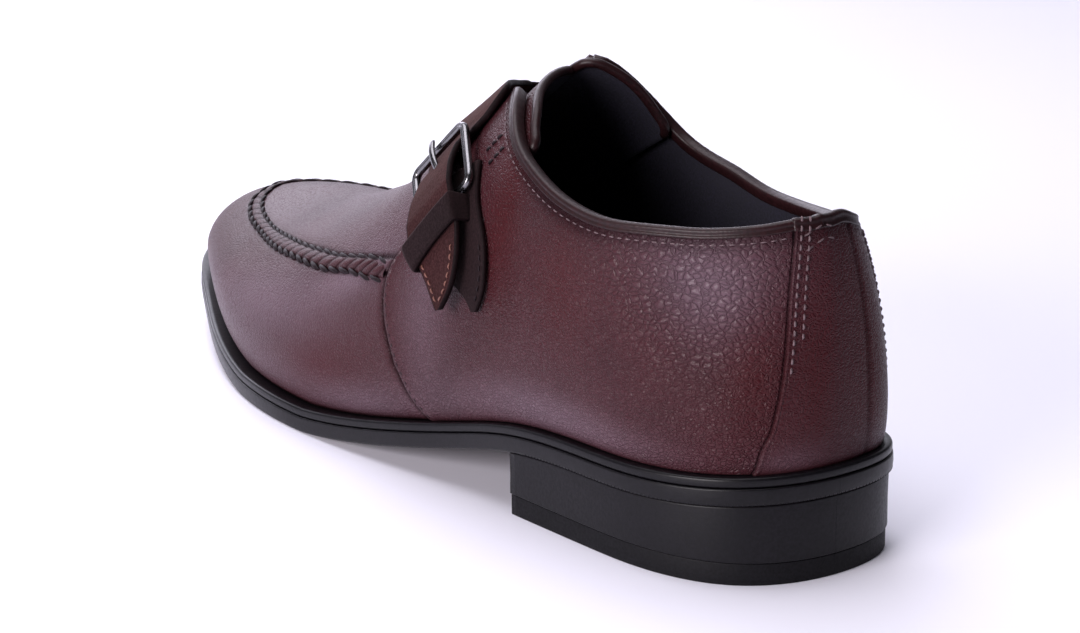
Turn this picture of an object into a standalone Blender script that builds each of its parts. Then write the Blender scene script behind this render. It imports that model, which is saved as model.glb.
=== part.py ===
"""Left monk strap shoe: sole, heel, welt, insole, hollow upper, tongue, strap and buckle."""
import math

import bmesh
import bpy
import numpy as np
from mathutils import Vector

# The frame: +Y points to the toe, +X to the medial side, +Z up.
# The origin is on the floor under the middle of the heel.

# Driving sizes in metres. Everything else follows from them.
LENGTH = 0.305
BALL_WIDTH = 0.1014
HEEL_HEIGHT = 0.0208
TOE_SPRING = 0.0140
OUTSOLE = 0.0044
WELT = 0.0026
TOP_LIFT = 0.0056
HEEL_LENGTH = 0.0795
WALL = 0.0017
INSOLE = 0.0020
INSTEP = 0.0760
STRAP_THICK = 0.0018
TAB_THICK = 0.0013
TONGUE_THICK = 0.0018
BAR = 0.0020
GAP = 0.0003

NAME = "monk_strap_shoe"
MM = 0.001
KX = BALL_WIDTH / 0.1014
KY = LENGTH / 0.305
KZ = INSTEP / 0.0760

# Plan of the sole: angle from the heel's back (0) to the toe (180), width and middle in mm.
PLAN = {
    "angle": [0, 10, 20, 30, 40, 50, 60, 70, 80, 90, 100, 110, 120, 130, 140, 150, 160, 170, 180],
    "width": [0, 28.5, 49.6, 62.1, 68.6, 71.2, 72.5, 73.8, 78.6, 88.0, 97.6, 101.4, 98.3, 88.9,
              76.2, 60.6, 42.3, 21.8, 0],
    "middle": [3.0, 3.6, 2.9, 1.4, 0.0, -0.9, -2.1, -3.6, -5.4, -4.6, -2.0, 2.0, 6.2, 9.2, 10.6,
               9.4, 7.4, 5.8, 5.0],
}
HEEL_BACK = -35.7 * MM * KY

# Underside of the outsole over the floor: place along the foot and height in mm.
# The heel and toe ends are set by HEEL_HEIGHT and TOE_SPRING.
ARCH = {
    "along": [-36, 0, 44, 68, 92, 117, 141, 165, 193, 230, 270],
    "height": [20.8, 18.9, 16.9, 11.4, 6.0, 1.6, -0.5, -0.3, 1.9, 6.5, 14.0],
}

# Bare ledge of the welt outside the upper, in mm, by plan angle.
LEDGE = {"angle": [0, 40, 80, 110, 150, 180], "ledge": [3.4, 3.6, 4.2, 5.0, 5.2, 4.6]}

# Line of the section centres and the height of the last's ridge over it, in mm.
CENTRE = {"along": [-10, 30, 60, 90, 120, 150, 185, 222],
          "across": [2.0, 0.5, 1.5, 4.5, 7.5, 10.5, 10.6, 10.1]}
RIDGE = {"along": [-10, 30, 60, 85, 105, 125, 150, 175, 200, 222],
         "height": [115.1, 126.7, 118.3, 102.8, 90.1, 76.1, 63.1, 53.7, 46.4, 44.3]}
HEEL_CENTRE = 2.0
TOE_CENTRE = 222.0

# Half sections of the last by plan angle: bulge over the feather line, its height,
# and the two roundness powers (up and across).
LATERAL = {
    "angle": [0, 30, 60, 80, 95, 110, 130, 150, 180],
    "bulge": [0.97, 1.38, 4.5, 4.0, 4.0, 4.5, 4.5, 3.14, 2.3],
    "rise": [11.4, 9.6, 16.0, 16.0, 15.0, 14.0, 13.0, 8.1, 7.4],
    "up": [2.28, 1.83, 2.6, 2.3, 2.1, 2.2, 2.09, 1.78, 1.8],
    "over": [1.58, 1.51, 1.6, 1.5, 1.5, 1.6, 1.78, 2.04, 2.04],
}
MEDIAL = {
    "angle": [0, 30, 60, 80, 95, 110, 130, 150, 180],
    "bulge": [0.97, 1.38, 4.5, 5.5, 4.5, 3.5, 3.5, 3.14, 2.3],
    "rise": [11.4, 9.6, 18.0, 20.0, 18.0, 14.0, 12.0, 8.1, 7.4],
    "up": [2.28, 1.83, 2.6, 2.3, 2.1, 2.2, 2.09, 1.78, 1.8],
    "over": [1.58, 1.51, 1.6, 1.5, 1.5, 1.6, 1.78, 2.04, 2.04],
}
BULGE_AT = 0.22

# Collar edge by signed angle (minus is medial): how far up the section it stands.
COLLAR = {
    "angle": [-72.6, -72.3, -71.9, -71.3, -70.5, -69.2, -65.5, -60.5, -56, -50, -40.5, -25.5, -12, -6,
              0, 5, 10, 22, 36, 41.5, 46.5, 50.5, 55.5, 59.5, 62.5, 65, 67, 69.5, 72],
    "share": [0.872, 0.824, 0.765, 0.692, 0.622, 0.550, 0.456, 0.413, 0.396, 0.408, 0.461, 0.524,
              0.526, 0.522, 0.506, 0.518, 0.529, 0.543, 0.515, 0.488, 0.462, 0.451, 0.457, 0.484,
              0.519, 0.566, 0.615, 0.680, 0.738],
}
# Throat slot from the collar's corners to its front end, by angle.
SLOT_END = 88.0
SLOT_LATERAL = {"angle": [73.4, 75, 78, 81, 84, 86.5, 87.6, 88],
                "share": [0.752, 0.775, 0.80, 0.83, 0.86, 0.90, 0.94, 1.0]}
SLOT_MEDIAL = {"angle": [74.6, 76, 78, 81, 84, 86.5, 87.6, 88],
               "share": [0.875, 0.87, 0.87, 0.88, 0.895, 0.92, 0.95, 1.0]}
BINDING = 3.0

# Seams as sideways shifts of the grid lines, in degrees, by share of the section.
QUARTER_SEAM = {"share": [0, 0.07, 0.14, 0.2, 0.25, 0.3, 0.375, 0.405, 0.43, 0.47, 0.6, 0.85, 1.0],
                "shift": [-3.6, -3.0, -1.6, -0.4, 1.0, 2.0, 2.4, 1.6, -0.2, -1.6, -1.8, -0.5, 0]}
QUARTER_AT = 79.0
PATCH_SEAM = {"share": [0, 0.084, 0.188, 0.25, 0.306, 0.363, 0.419, 0.456, 0.53, 1.0],
              "shift": [6.5, 5.5, 4.0, 2.0, 0.5, -0.5, -1.5, -2.5, -4.5, -4.5]}
PATCH_LATERAL = 10.0
PATCH_MEDIAL = -25.5

# Raised apron band: lower and upper edge by angle.
APRON = {
    "angle": [79, 82, 90, 97, 104, 113, 124, 132, 140, 148, 157, 165, 180],
    "lower": [0.365, 0.381, 0.428, 0.468, 0.506, 0.547, 0.600, 0.622, 0.652, 0.690, 0.735, 0.755,
              0.760],
    "upper": [0.392, 0.409, 0.458, 0.508, 0.545, 0.592, 0.642, 0.672, 0.705, 0.742, 0.775, 0.785,
              0.790],
}

# How far each zone stands off the last, in mm.
VAMP_OFF = -0.6
QUARTER_OFF = 0.4
PATCH_OFF = 0.9
BAND_UP = 0.8
INNER_OFF = VAMP_OFF - WALL / MM

# Straps by share (below 1 lateral, over 1 medial): rear edge, front edge, lift of the underside.
STRAP = {
    "share": [0.276, 0.297, 0.323, 0.368, 0.418, 0.446, 0.489, 0.54, 0.58, 0.62, 0.66, 0.70, 0.74,
              0.78, 0.82, 0.86, 0.90, 0.95, 1.0, 1.05, 1.12, 1.25, 1.36, 1.44],
    "rear": [68.8, 67.6, 67.0, 67.2, 68.2, 68.9, 70.3, 72.0, 72.9, 73.0, 72.2, 72.0, 73.0, 75.0,
             76.8, 78.4, 79.8, 81.0, 81.8, 81.9, 81.4, 80.6, 80.4, 81.5],
    "front": [69.6, 70.8, 72.1, 74.2, 75.4, 76.0, 76.8, 78.15, 79.8, 81.4, 82.2, 82.9, 83.9, 85.0,
              86.4, 87.8, 89.2, 90.5, 91.3, 91.6, 91.5, 90.5, 89.3, 87.5],
    "lift": [4.8, 4.4, 4.0, 3.9, 5.5, 6.0, 5.2, 3.7, 1.5, 0.9, 1.2, 1.3, 1.3, 1.2, 1.0, 0.9, 0.8,
             0.8, 0.8, 0.8, 0.8, 0.8, 0.8, 0.8],
}
TAB = {
    "share": [0.266, 0.284, 0.31, 0.368, 0.418, 0.47, 0.515],
    "rear": [65.0, 64.2, 63.9, 64.8, 66.6, 68.0, 68.9],
    "front": [65.8, 67.0, 69.4, 73.2, 75.0, 76.8, 78.0],
    "lift": [0.9, 0.8, 0.7, 0.7, 0.7, 0.7, 0.7],
}
# Tongue's rear edge by share, on each side.
TONGUE_EDGE = {
    "share": [0.50, 0.52, 0.56, 0.62, 0.68, 0.74, 0.80, 0.87, 0.94, 1.0],
    "lateral": [65.0, 63.4, 64.0, 66.0, 68.2, 70.1, 71.6, 73.0, 74.1, 74.8],
    "medial": [70.0, 69.0, 69.0, 69.6, 70.1, 70.7, 71.3, 72.0, 73.3, 74.8],
}
TONGUE_FRONT = 97.0

# Buckle over the strap: the ends of its top bar and the middle of its low bar.
# Each is a place on the last and a lift over it in mm, so the buckle follows the strap.
BUCKLE = {
    "rear": (73.146, 0.6108, 5.683),
    "front": (79.493, 0.5502, 5.077),
    "low": (71.361, 0.4372, 3.942),
}


def spline(xs, ys, x):
    """Natural cubic curve through the table's points."""
    xs = np.asarray(xs, float)
    ys = np.asarray(ys, float)
    n = len(xs)
    step = np.diff(xs)
    left = np.eye(n)
    right = np.zeros(n)
    for i in range(1, n - 1):
        left[i, i - 1:i + 2] = step[i - 1], 2 * (step[i - 1] + step[i]), step[i]
        right[i] = 6 * ((ys[i + 1] - ys[i]) / step[i] - (ys[i] - ys[i - 1]) / step[i - 1])
    bend = np.linalg.solve(left, right)
    x = np.clip(np.asarray(x, float), xs[0], xs[-1])
    k = np.clip(np.searchsorted(xs, x) - 1, 0, n - 2)
    t = x - xs[k]
    h = step[k]
    slope = (ys[k + 1] - ys[k]) / h - h * (2 * bend[k] + bend[k + 1]) / 6
    return ys[k] + t * slope + t ** 2 * bend[k] / 2 + t ** 3 * (bend[k + 1] - bend[k]) / (6 * h)


def fold(angle):
    """Angle from the heel's back on either side, and the side (-1 lateral, 1 medial)."""
    angle = np.mod(angle, 360.0)
    side = np.where(angle <= 180.0, -1.0, 1.0)
    return np.where(angle <= 180.0, angle, 360.0 - angle), side


def plan(angle):
    """Edge of the sole seen from above."""
    folded, side = fold(angle)
    width = spline(PLAN["angle"], PLAN["width"], folded) * KX * MM
    middle = spline(PLAN["angle"], PLAN["middle"], folded) * KX * MM
    along = HEEL_BACK + LENGTH * (1 - np.cos(np.radians(folded))) / 2
    return np.stack([middle + side * width / 2, along], -1)


def plan_inset(angle, inset):
    """The sole's edge moved inwards."""
    angle = np.asarray(angle, float)
    run = plan(angle + 0.5) - plan(angle - 0.5)
    out = np.stack([run[..., 1], -run[..., 0]], -1)
    out /= np.linalg.norm(out, axis=-1, keepdims=True)
    # The ring is walked heel, lateral side, toe, medial side: outside is on the left.
    return plan(angle) + out * np.asarray(inset)[..., None] * 1.0


def sole_low(along):
    """Height of the outsole's underside: heel seat, arch, flat ball and toe spring."""
    share = np.asarray(along, float) / (MM * KY)
    table = np.array(ARCH["height"], float)
    back = np.array(ARCH["along"]) <= 92
    table = np.where(back, table * HEEL_HEIGHT / 0.0208, table)
    front = np.array(ARCH["along"]) >= 193
    table = np.where(front, table * TOE_SPRING / 0.0140, table)
    return np.maximum(spline(ARCH["along"], table, share), 0.0) * MM


def feather_low(along):
    """Top of the welt, where the upper starts."""
    return sole_low(along) + OUTSOLE + GAP + WELT


def soft_clamp(y, low, high, soft=10.0):
    y = low + soft * np.log1p(np.exp(np.clip((y - low) / soft, -50, 50)))
    return high - soft * np.log1p(np.exp(np.clip((high - y) / soft, -50, 50)))


def centre(angle):
    """Point under the last's ridge that a section turns about."""
    along = soft_clamp(plan(angle)[..., 1] / (MM * KY), HEEL_CENTRE, TOE_CENTRE)
    across = spline(CENTRE["along"], CENTRE["across"], along) * KX
    return np.stack([across, along * KY], -1) * MM


def section(angle):
    """The four section numbers at an angle, lateral or medial."""
    folded, side = fold(angle)
    found = []
    for key in ("bulge", "rise", "up", "over"):
        lateral = spline(LATERAL["angle"], LATERAL[key], folded)
        medial = spline(MEDIAL["angle"], MEDIAL[key], folded)
        found.append(np.where(side < 0, lateral, medial))
    return found


def last(angle, share):
    """Point on the last: share 0 at the feather line, 1 on the ridge."""
    angle, share = np.broadcast_arrays(np.asarray(angle, float), np.asarray(share, float))
    folded, side = fold(angle)
    ledge = spline(LEDGE["angle"], LEDGE["ledge"], folded) * MM
    foot = plan_inset(angle, ledge)
    mid = centre(angle)
    out = foot - mid
    reach = np.linalg.norm(out, axis=-1)
    out = out / reach[..., None]
    bulge, rise, up, over = section(angle)
    base = feather_low(foot[..., 1])
    belly = base + rise * MM
    ridge = spline(RIDGE["along"], RIDGE["height"], mid[..., 1] / (MM * KY)) * KZ * MM
    turn = np.clip(share / BULGE_AT, 0, 1) * np.pi / 2
    low_r = reach + bulge * MM * np.sin(turn)
    low_z = base + rise * MM * (1 - np.cos(turn)) ** 0.9
    turn = np.clip((share - BULGE_AT) / (1 - BULGE_AT), 0, 1) * np.pi / 2
    high_r = (reach + bulge * MM) * np.maximum(np.cos(turn), 0) ** (2 / over)
    high_z = belly + (ridge - belly) * np.sin(turn) ** (2 / up)
    radius = np.where(share < BULGE_AT, low_r, high_r)
    height = np.where(share < BULGE_AT, low_z, high_z)
    return np.concatenate([mid + out * radius[..., None], height[..., None]], -1)


def facing(angle, share):
    """Outward direction of the last's surface."""
    angle, share = np.broadcast_arrays(np.asarray(angle, float), np.asarray(share, float))
    share = np.minimum(share, 0.985)
    round_it = last(angle + 0.4, share) - last(angle - 0.4, share)
    above = share + 0.004
    below = np.maximum(share - 0.004, 0)
    rise = last(angle, above) - last(angle, below)
    out = np.cross(rise, round_it)
    out /= np.maximum(np.linalg.norm(out, axis=-1, keepdims=True), 1e-12)
    mid = centre(angle)
    core = np.concatenate([mid, feather_low(mid[..., 1:2]) + 0.020], -1)
    return out * np.sign((out * (last(angle, share) - core)).sum(-1, keepdims=True))


def skin(angle, share, lift):
    """Point a given distance (mm) off the last; the two sides agree on the ridge."""
    angle, share = np.broadcast_arrays(np.asarray(angle, float), np.asarray(share, float))
    out = facing(angle, share)
    twin = facing(360.0 - angle, share)
    top = np.clip((share - 0.93) / 0.07, 0, 1)[..., None]
    mixed = out * (1 - top / 2) + twin * top / 2
    mixed /= np.linalg.norm(mixed, axis=-1, keepdims=True)
    return last(angle, share) + mixed * (np.asarray(lift) * MM)[..., None]


# Building helpers
def material(name, colour, rough, metal=0.0):
    made = bpy.data.materials.new(name)
    made.use_nodes = True
    shader = made.node_tree.nodes["Principled BSDF"]
    shader.inputs["Base Color"].default_value = (*colour, 1.0)
    shader.inputs["Roughness"].default_value = rough
    shader.inputs["Metallic"].default_value = metal
    return made


def solid(name, points, faces, look):
    """One closed body from points and faces, facing outwards."""
    mesh = bpy.data.meshes.new(name)
    mesh.from_pydata([tuple(p) for p in points], [], faces)
    body = bmesh.new()
    body.from_mesh(mesh)
    bmesh.ops.recalc_face_normals(body, faces=body.faces)
    bmesh.ops.triangulate(body, faces=body.faces, quad_method="BEAUTY")
    if body.calc_volume(signed=True) < 0:
        bmesh.ops.reverse_faces(body, faces=body.faces)
    open_edges = [e for e in body.edges if len(e.link_faces) != 2]
    if open_edges:
        raise RuntimeError(f"{name}: {len(open_edges)} open edges")
    body.to_mesh(mesh)
    body.free()
    mesh.materials.append(look)
    thing = bpy.data.objects.new(name, mesh)
    SHOE.objects.link(thing)
    print(name, len(mesh.polygons), "triangles")
    return thing


def tube_faces(rings, points, closed):
    """Faces of a loft whose rings each hold the same number of points."""
    faces = []
    last_ring = rings if closed else rings - 1
    for i in range(last_ring):
        a = i * points
        b = ((i + 1) % rings) * points
        for j in range(points):
            k = (j + 1) % points
            faces.append((a + j, a + k, b + k, b + j))
    return faces


def loft(name, rings, look, closed=False):
    """Closed body through a row of rings, with its two ends capped."""
    rings = np.asarray(rings)
    count, points = rings.shape[0], rings.shape[1]
    faces = tube_faces(count, points, closed)
    if not closed:
        faces.append(tuple(reversed(range(points))))
        faces.append(tuple((count - 1) * points + j for j in range(points)))
    return solid(name, rings.reshape(-1, 3), faces, look)


def signed(angle):
    return (np.asarray(angle, float) + 180.0) % 360.0 - 180.0


def window(angle, middle, wide):
    t = np.clip(np.abs(signed(angle) - middle) / wide, 0, 1)
    return np.cos(t * np.pi / 2) ** 2


def seam_shift(angle, share):
    """Sideways shift of the grid lines so that one of them follows each seam."""
    quarter = spline(QUARTER_SEAM["share"], QUARTER_SEAM["shift"], share)
    patch = spline(PATCH_SEAM["share"], PATCH_SEAM["shift"], share)
    moved = window(angle, QUARTER_AT, 18.0) * quarter
    moved = moved - window(angle, -QUARTER_AT, 18.0) * quarter
    moved = moved + window(angle, PATCH_LATERAL, 17.0) * patch
    return moved - window(angle, PATCH_MEDIAL, 17.0) * patch


# Rows of the upper's grid: a number from 0 at the welt to 1 at the top edge.
ROWS = [0, 0.09, 0.17, 0.25, 0.37, 0.492, 0.502, 0.548, 0.558, 0.68, 0.80, 0.91, 1.0]
LOW_ROW = 0.497
HIGH_ROW = 0.553
# Columns of the upper's grid by angle. The sole, welt and insole share them.
SIDE = [5, 9.7, 10.3, 16, 22, 28, 34, 40, 46, 51, 56, 60, 63, 66, 68.5, 70.5, 72.1, 73.4, 75.5,
        78.8, 79.3, 82, 84.5, 86.5, 88]
INNER = [6, 13, 20, 25.2, 25.8, 32, 39, 46, 52, 57, 61, 64.5, 67, 69.2, 71, 72.3, 73.2, 73.9, 74.7,
         76.2, 78.8, 79.3, 82, 85, 88]
FRONT = [92, 96, 101, 106, 112, 118, 124, 130, 136, 142, 148, 154, 160, 166, 173]


def all_columns():
    front = FRONT + [180] + [360 - a for a in reversed(FRONT)]
    return [0] + SIDE + front + [360 - a for a in reversed(INNER)]


def base_angles(columns):
    """Plan angles of the grid's columns where they meet the welt."""
    columns = np.array(columns, float)
    return columns + seam_shift(columns, np.zeros(len(columns)))


def column_pairs(end):
    """Lateral and medial angles of the shared columns, heel to toe."""
    lateral = base_angles(SIDE + FRONT)
    medial = base_angles([360 - a for a in INNER + FRONT])
    pairs = [(end, 360.0 - end)] + list(zip(lateral, medial))
    return [tuple(float(a) for a in p) for p in pairs] + [(180.0 - end, 180.0 + end)]


def plate(name, pairs, levels, look, across=5):
    """Plate under or inside the foot.

    Pairs are (lateral, medial) angles from the heel to the toe. Each level is
    (inset, height function); the first is the underside and the last the top.
    """
    rings = []
    for pair in pairs:
        sides = []
        for inset, height in levels:
            ends = plan_inset(np.array(pair), np.array([inset, inset]))
            sides.append([np.array([x, y, height(y)]) for x, y in ends])
        ring = []
        for k in range(across + 1):
            spot = sides[0][0] + (sides[0][1] - sides[0][0]) * k / across
            ring.append([spot[0], spot[1], levels[0][1](spot[1])])
        for side in sides[1:-1]:
            ring.append(side[1])
        for k in range(across + 1):
            spot = sides[-1][1] + (sides[-1][0] - sides[-1][1]) * k / across
            ring.append([spot[0], spot[1], levels[-1][1](spot[1])])
        for side in reversed(sides[1:-1]):
            ring.append(side[0])
        rings.append(ring)
    return loft(name, rings, look)


def outsole():
    bevel = 0.0007
    levels = [
        (bevel, lambda y: sole_low(y)),
        (0.0, lambda y: sole_low(y) + bevel),
        (0.0, lambda y: sole_low(y) + OUTSOLE - bevel / 2),
        (bevel / 2, lambda y: sole_low(y) + OUTSOLE),
    ]
    return plate("outsole", column_pairs(1.5), levels, BLACK_LEATHER)


def heel():
    breast = math.degrees(math.acos(1 - 2 * HEEL_LENGTH / LENGTH))
    pairs = [p for p in column_pairs(1.8) if max(p[0], 360 - p[1]) < breast - 1]
    pairs.append((breast, 360 - breast))

    def taper(height):
        return 0.0006 + 0.0008 * (1 - height / HEEL_HEIGHT)

    lift = [
        (taper(0.0) + 0.0003, lambda y: 0.0),
        (taper(0.0), lambda y: 0.0005),
        (taper(TOP_LIFT), lambda y: TOP_LIFT),
    ]
    plate("heel_top_lift", pairs, lift, BLACK_RUBBER, across=4)
    stack = [
        (taper(TOP_LIFT), lambda y: TOP_LIFT + GAP),
        (taper(HEEL_HEIGHT), lambda y: sole_low(y) - GAP),
    ]
    plate("heel_stack", pairs, stack, BLACK_LEATHER)


def ledge_at(angle):
    folded, side = fold(angle)
    return spline(LEDGE["angle"], LEDGE["ledge"], folded) * MM


UNDER_UPPER = 0.0062


def welt():
    """Strip round the whole shoe between the outsole and the upper."""
    angles = base_angles(all_columns())
    ledge = ledge_at(angles)
    rings = []
    for angle, bare in zip(angles, ledge):
        profile = [
            (0.0009, 0.0),
            (0.0003, 0.0006),
            (0.0003, WELT - 0.0006),
            (0.0009, WELT),
            (bare + UNDER_UPPER, WELT),
            (bare + UNDER_UPPER, 0.0),
        ]
        ring = []
        for inset, up in profile:
            x, y = plan_inset(np.array([angle]), np.array([inset]))[0]
            ring.append([x, y, sole_low(y) + OUTSOLE + GAP + up])
        rings.append(ring)
    return loft("welt", rings, BLACK_LEATHER, closed=True)


def insole():
    """Footbed: its core fills the welt's ring and its rim lies on the welt inside the upper."""
    rings = []
    across = 5
    rim = WALL + 0.0008
    pairs = column_pairs(3.0)[1:-1]
    for pair in pairs:
        bare = ledge_at(np.array(pair))
        spots = []
        for inset in (bare + UNDER_UPPER + GAP, bare + rim + GAP):
            spots.append(plan_inset(np.array(pair), inset))
        if pair in (pairs[0], pairs[-1]):
            # Flat ends: the rim stops level with the core.
            spots[1][:, 1] = spots[0][:, 1]
        base = OUTSOLE + GAP
        ring = []
        for k in range(across + 1):
            x, y = spots[0][0] + (spots[0][1] - spots[0][0]) * k / across
            ring.append([x, y, sole_low(y) + base + GAP])
        x, y = spots[0][1]
        ring.append([x, y, sole_low(y) + base + WELT + GAP])
        x, y = spots[1][1]
        ring.append([x, y, sole_low(y) + base + WELT + GAP])
        for k in range(across + 1):
            x, y = spots[1][1] + (spots[1][0] - spots[1][1]) * k / across
            ring.append([x, y, sole_low(y) + base + WELT + GAP + INSOLE])
        x, y = spots[1][0]
        ring.append([x, y, sole_low(y) + base + WELT + GAP])
        x, y = spots[0][0]
        ring.append([x, y, sole_low(y) + base + WELT + GAP])
        rings.append(ring)
    return loft("insole", rings, TAN_LINING)


def collar_share(angle):
    return spline(COLLAR["angle"], COLLAR["share"], signed(angle))


def wall_edge():
    """Top edge of the upper's wall by signed angle: under the binding, then round the slot."""
    turn = np.linspace(COLLAR["angle"][0], COLLAR["angle"][-1], 580)
    share = collar_share(turn)
    line = last(turn, share)
    run = np.gradient(line, axis=0)
    run /= np.linalg.norm(run, axis=-1, keepdims=True)
    out = facing(turn, share)
    down = np.cross(out, run)
    down *= -np.sign(down[:, 2:3])
    by_angle = (last(turn + 0.2, share) - last(turn - 0.2, share)) / 0.4
    by_share = (last(turn, share + 0.002) - last(turn, share - 0.002)) / 0.004
    step = down * (BINDING + 0.45) * MM
    moved = []
    for a, b, s, angle, up in zip(by_angle, by_share, step, turn, share):
        grid = np.stack([a, b], -1)
        change = np.linalg.lstsq(grid, s, rcond=None)[0]
        moved.append([angle + change[0], up + change[1]])
    moved = np.array(moved)
    start = int(np.argmin(moved[:200, 0]))
    moved = moved[start:]
    moved = moved[moved[:, 0] < SLOT_LATERAL["angle"][0] - 0.4]
    print("wall edge runs from", moved[0].round(2), "to", moved[-1].round(2))
    lateral = np.stack([SLOT_LATERAL["angle"], SLOT_LATERAL["share"]], -1)
    medial = np.stack([SLOT_MEDIAL["angle"], SLOT_MEDIAL["share"]], -1)
    medial = medial[::-1] * np.array([-1, 1])
    return np.vstack([medial, moved, lateral])


EDGE = None


def top_share(angle):
    turn = signed(angle)
    edge = np.interp(turn, EDGE[:, 0], EDGE[:, 1])
    return np.where(np.abs(turn) >= SLOT_END, 1.0, edge)


def row_share(angle, row):
    """Share of the section for a row, so that two rows carry the apron band's edges."""
    folded, side = fold(angle)
    top = top_share(angle)
    low = spline(APRON["angle"], APRON["lower"], np.clip(folded, 79, 180))
    high = spline(APRON["angle"], APRON["upper"], np.clip(folded, 79, 180))
    blend = np.clip((folded - 60) / 19, 0, 1)
    plain_low = BULGE_AT + (top - BULGE_AT) * 0.38
    plain_high = BULGE_AT + (top - BULGE_AT) * 0.46
    low = plain_low * (1 - blend) + low * blend
    high = plain_high * (1 - blend) + high * blend
    share = np.where(row < 0.24, row / 0.24 * BULGE_AT, 0.0)
    share = np.where((row >= 0.24) & (row < LOW_ROW),
                     BULGE_AT + (low - BULGE_AT) * (row - 0.24) / (LOW_ROW - 0.24), share)
    share = np.where((row >= LOW_ROW) & (row < HIGH_ROW),
                     low + (high - low) * (row - LOW_ROW) / (HIGH_ROW - LOW_ROW), share)
    return np.where(row >= HIGH_ROW,
                    high + (top - high) * (row - HIGH_ROW) / (1 - HIGH_ROW), share)


def zone_lift(column, row):
    """How far the outside stands off the last in the vamp, quarters, heel patch and apron band."""
    turn = signed(column)
    lift = np.where(np.abs(turn) < QUARTER_AT, QUARTER_OFF, VAMP_OFF)
    lift = np.where((turn < PATCH_LATERAL) & (turn > PATCH_MEDIAL), PATCH_OFF, lift)
    band = (np.abs(turn) > QUARTER_AT) & (row > LOW_ROW) & (row < HIGH_ROW)
    return lift + np.where(band, BAND_UP, 0.0)


def upper():
    """Hollow upper: vamp, quarters and heel patch in one wall, open at the collar and below."""
    columns = all_columns()
    rows = np.array(ROWS)
    count = len(columns)
    height = len(rows)
    closed = [SLOT_END - 0.1 < min(c, 360 - c) for c in columns]
    column = np.array(columns, float)[:, None] + 0 * rows[None, :]
    row = rows[None, :] + 0 * column
    angle = column.copy()
    for _ in range(4):
        share = row_share(angle, row)
        angle = column + seam_shift(column, share)
    share = row_share(angle, row)
    share[np.array(closed), -1] = 1.0
    outside = skin(angle, share, zone_lift(column, row))
    inside = skin(angle, share, np.full_like(share, INNER_OFF))
    # The lower rim follows the welt's top, one gap above it.
    for grid in (outside, inside):
        grid[:, 0, 2] = sole_low(grid[:, 0, 1]) + OUTSOLE + WELT + 2 * GAP
    points = []
    index = {}
    for layer, grid in (("out", outside), ("in", inside)):
        for i in range(count):
            for j in range(height):
                twin = columns.index(360 - columns[i]) if closed[i] and columns[i] > 180 else i
                if j == height - 1 and twin != i:
                    index[layer, i, j] = index[layer, twin, j]
                    continue
                index[layer, i, j] = len(points)
                points.append(grid[i, j])
    faces = []
    for i in range(count):
        k = (i + 1) % count
        for j in range(height - 1):
            faces.append([index["out", i, j], index["out", k, j],
                          index["out", k, j + 1], index["out", i, j + 1]])
            faces.append([index["in", i, j + 1], index["in", k, j + 1],
                          index["in", k, j], index["in", i, j]])
        faces.append([index["in", i, 0], index["in", k, 0], index["out", k, 0], index["out", i, 0]])
        if not (closed[i] and closed[k]):
            top = height - 1
            faces.append([index["out", i, top], index["out", k, top],
                          index["in", k, top], index["in", i, top]])
    return solid("upper", points, faces, BURGUNDY)


def binding():
    """Rounded strip over the collar's edge, from the lateral corner round the heel."""
    turn = np.concatenate([[-72.5, -72.3, -72.0, -71.6, -71.0, -70.2, -69.2, -68, -66.3, -64, -61],
                           np.linspace(-57, 57, 21), [60, 62.5, 64.5, 66.5, 68.3, 70, 71.7]])
    share = collar_share(turn)
    line = last(turn, share)
    run = np.gradient(line, axis=0)
    run /= np.linalg.norm(run, axis=-1, keepdims=True)
    out = facing(turn, share)
    down = np.cross(out, run)
    down *= -np.sign(down[:, 2:3])
    down /= np.linalg.norm(down, axis=-1, keepdims=True)
    middle = (QUARTER_OFF + INNER_OFF) / 2 * MM
    thick = (QUARTER_OFF - INNER_OFF) / 2 * MM + 0.0004
    high = BINDING / 2 * MM
    rings = []
    for spot, o, d in zip(line, out, down):
        ring = []
        for k in range(8):
            turn_k = math.radians(22.5 + 45 * k)
            across = math.copysign(abs(math.cos(turn_k)) ** 0.7, math.cos(turn_k))
            along = math.copysign(abs(math.sin(turn_k)) ** 0.7, math.sin(turn_k))
            ring.append(spot + o * (middle + thick * across) + d * (high + high * along))
        rings.append(ring)
    return loft("collar_binding", rings, BROWN_EDGE)


def tongue():
    """Padded leather tongue under the throat slot."""
    cross = np.concatenate([-np.linspace(1, 0, 11), np.linspace(0, 1, 11)[1:]])
    deep = np.linspace(0, 1, 9)
    outer_lift = INNER_OFF - 0.75
    inner_lift = outer_lift - TONGUE_THICK / MM
    layers = []
    for lift in (outer_lift, inner_lift):
        grid = []
        for c in cross:
            share = 1.0 - 0.49 * abs(c) ** 1.15
            edge = TONGUE_EDGE["lateral"] if c <= 0 else TONGUE_EDGE["medial"]
            rear = spline(TONGUE_EDGE["share"], edge, share)
            angle = rear + (TONGUE_FRONT - rear) * deep
            if c > 0:
                angle = 360.0 - angle
            grid.append(skin(angle, np.full_like(angle, share), lift - 0.6 * deep))
        layers.append(np.array(grid))
    return sheet_solid("tongue", layers[0], layers[1], BURGUNDY)


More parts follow.
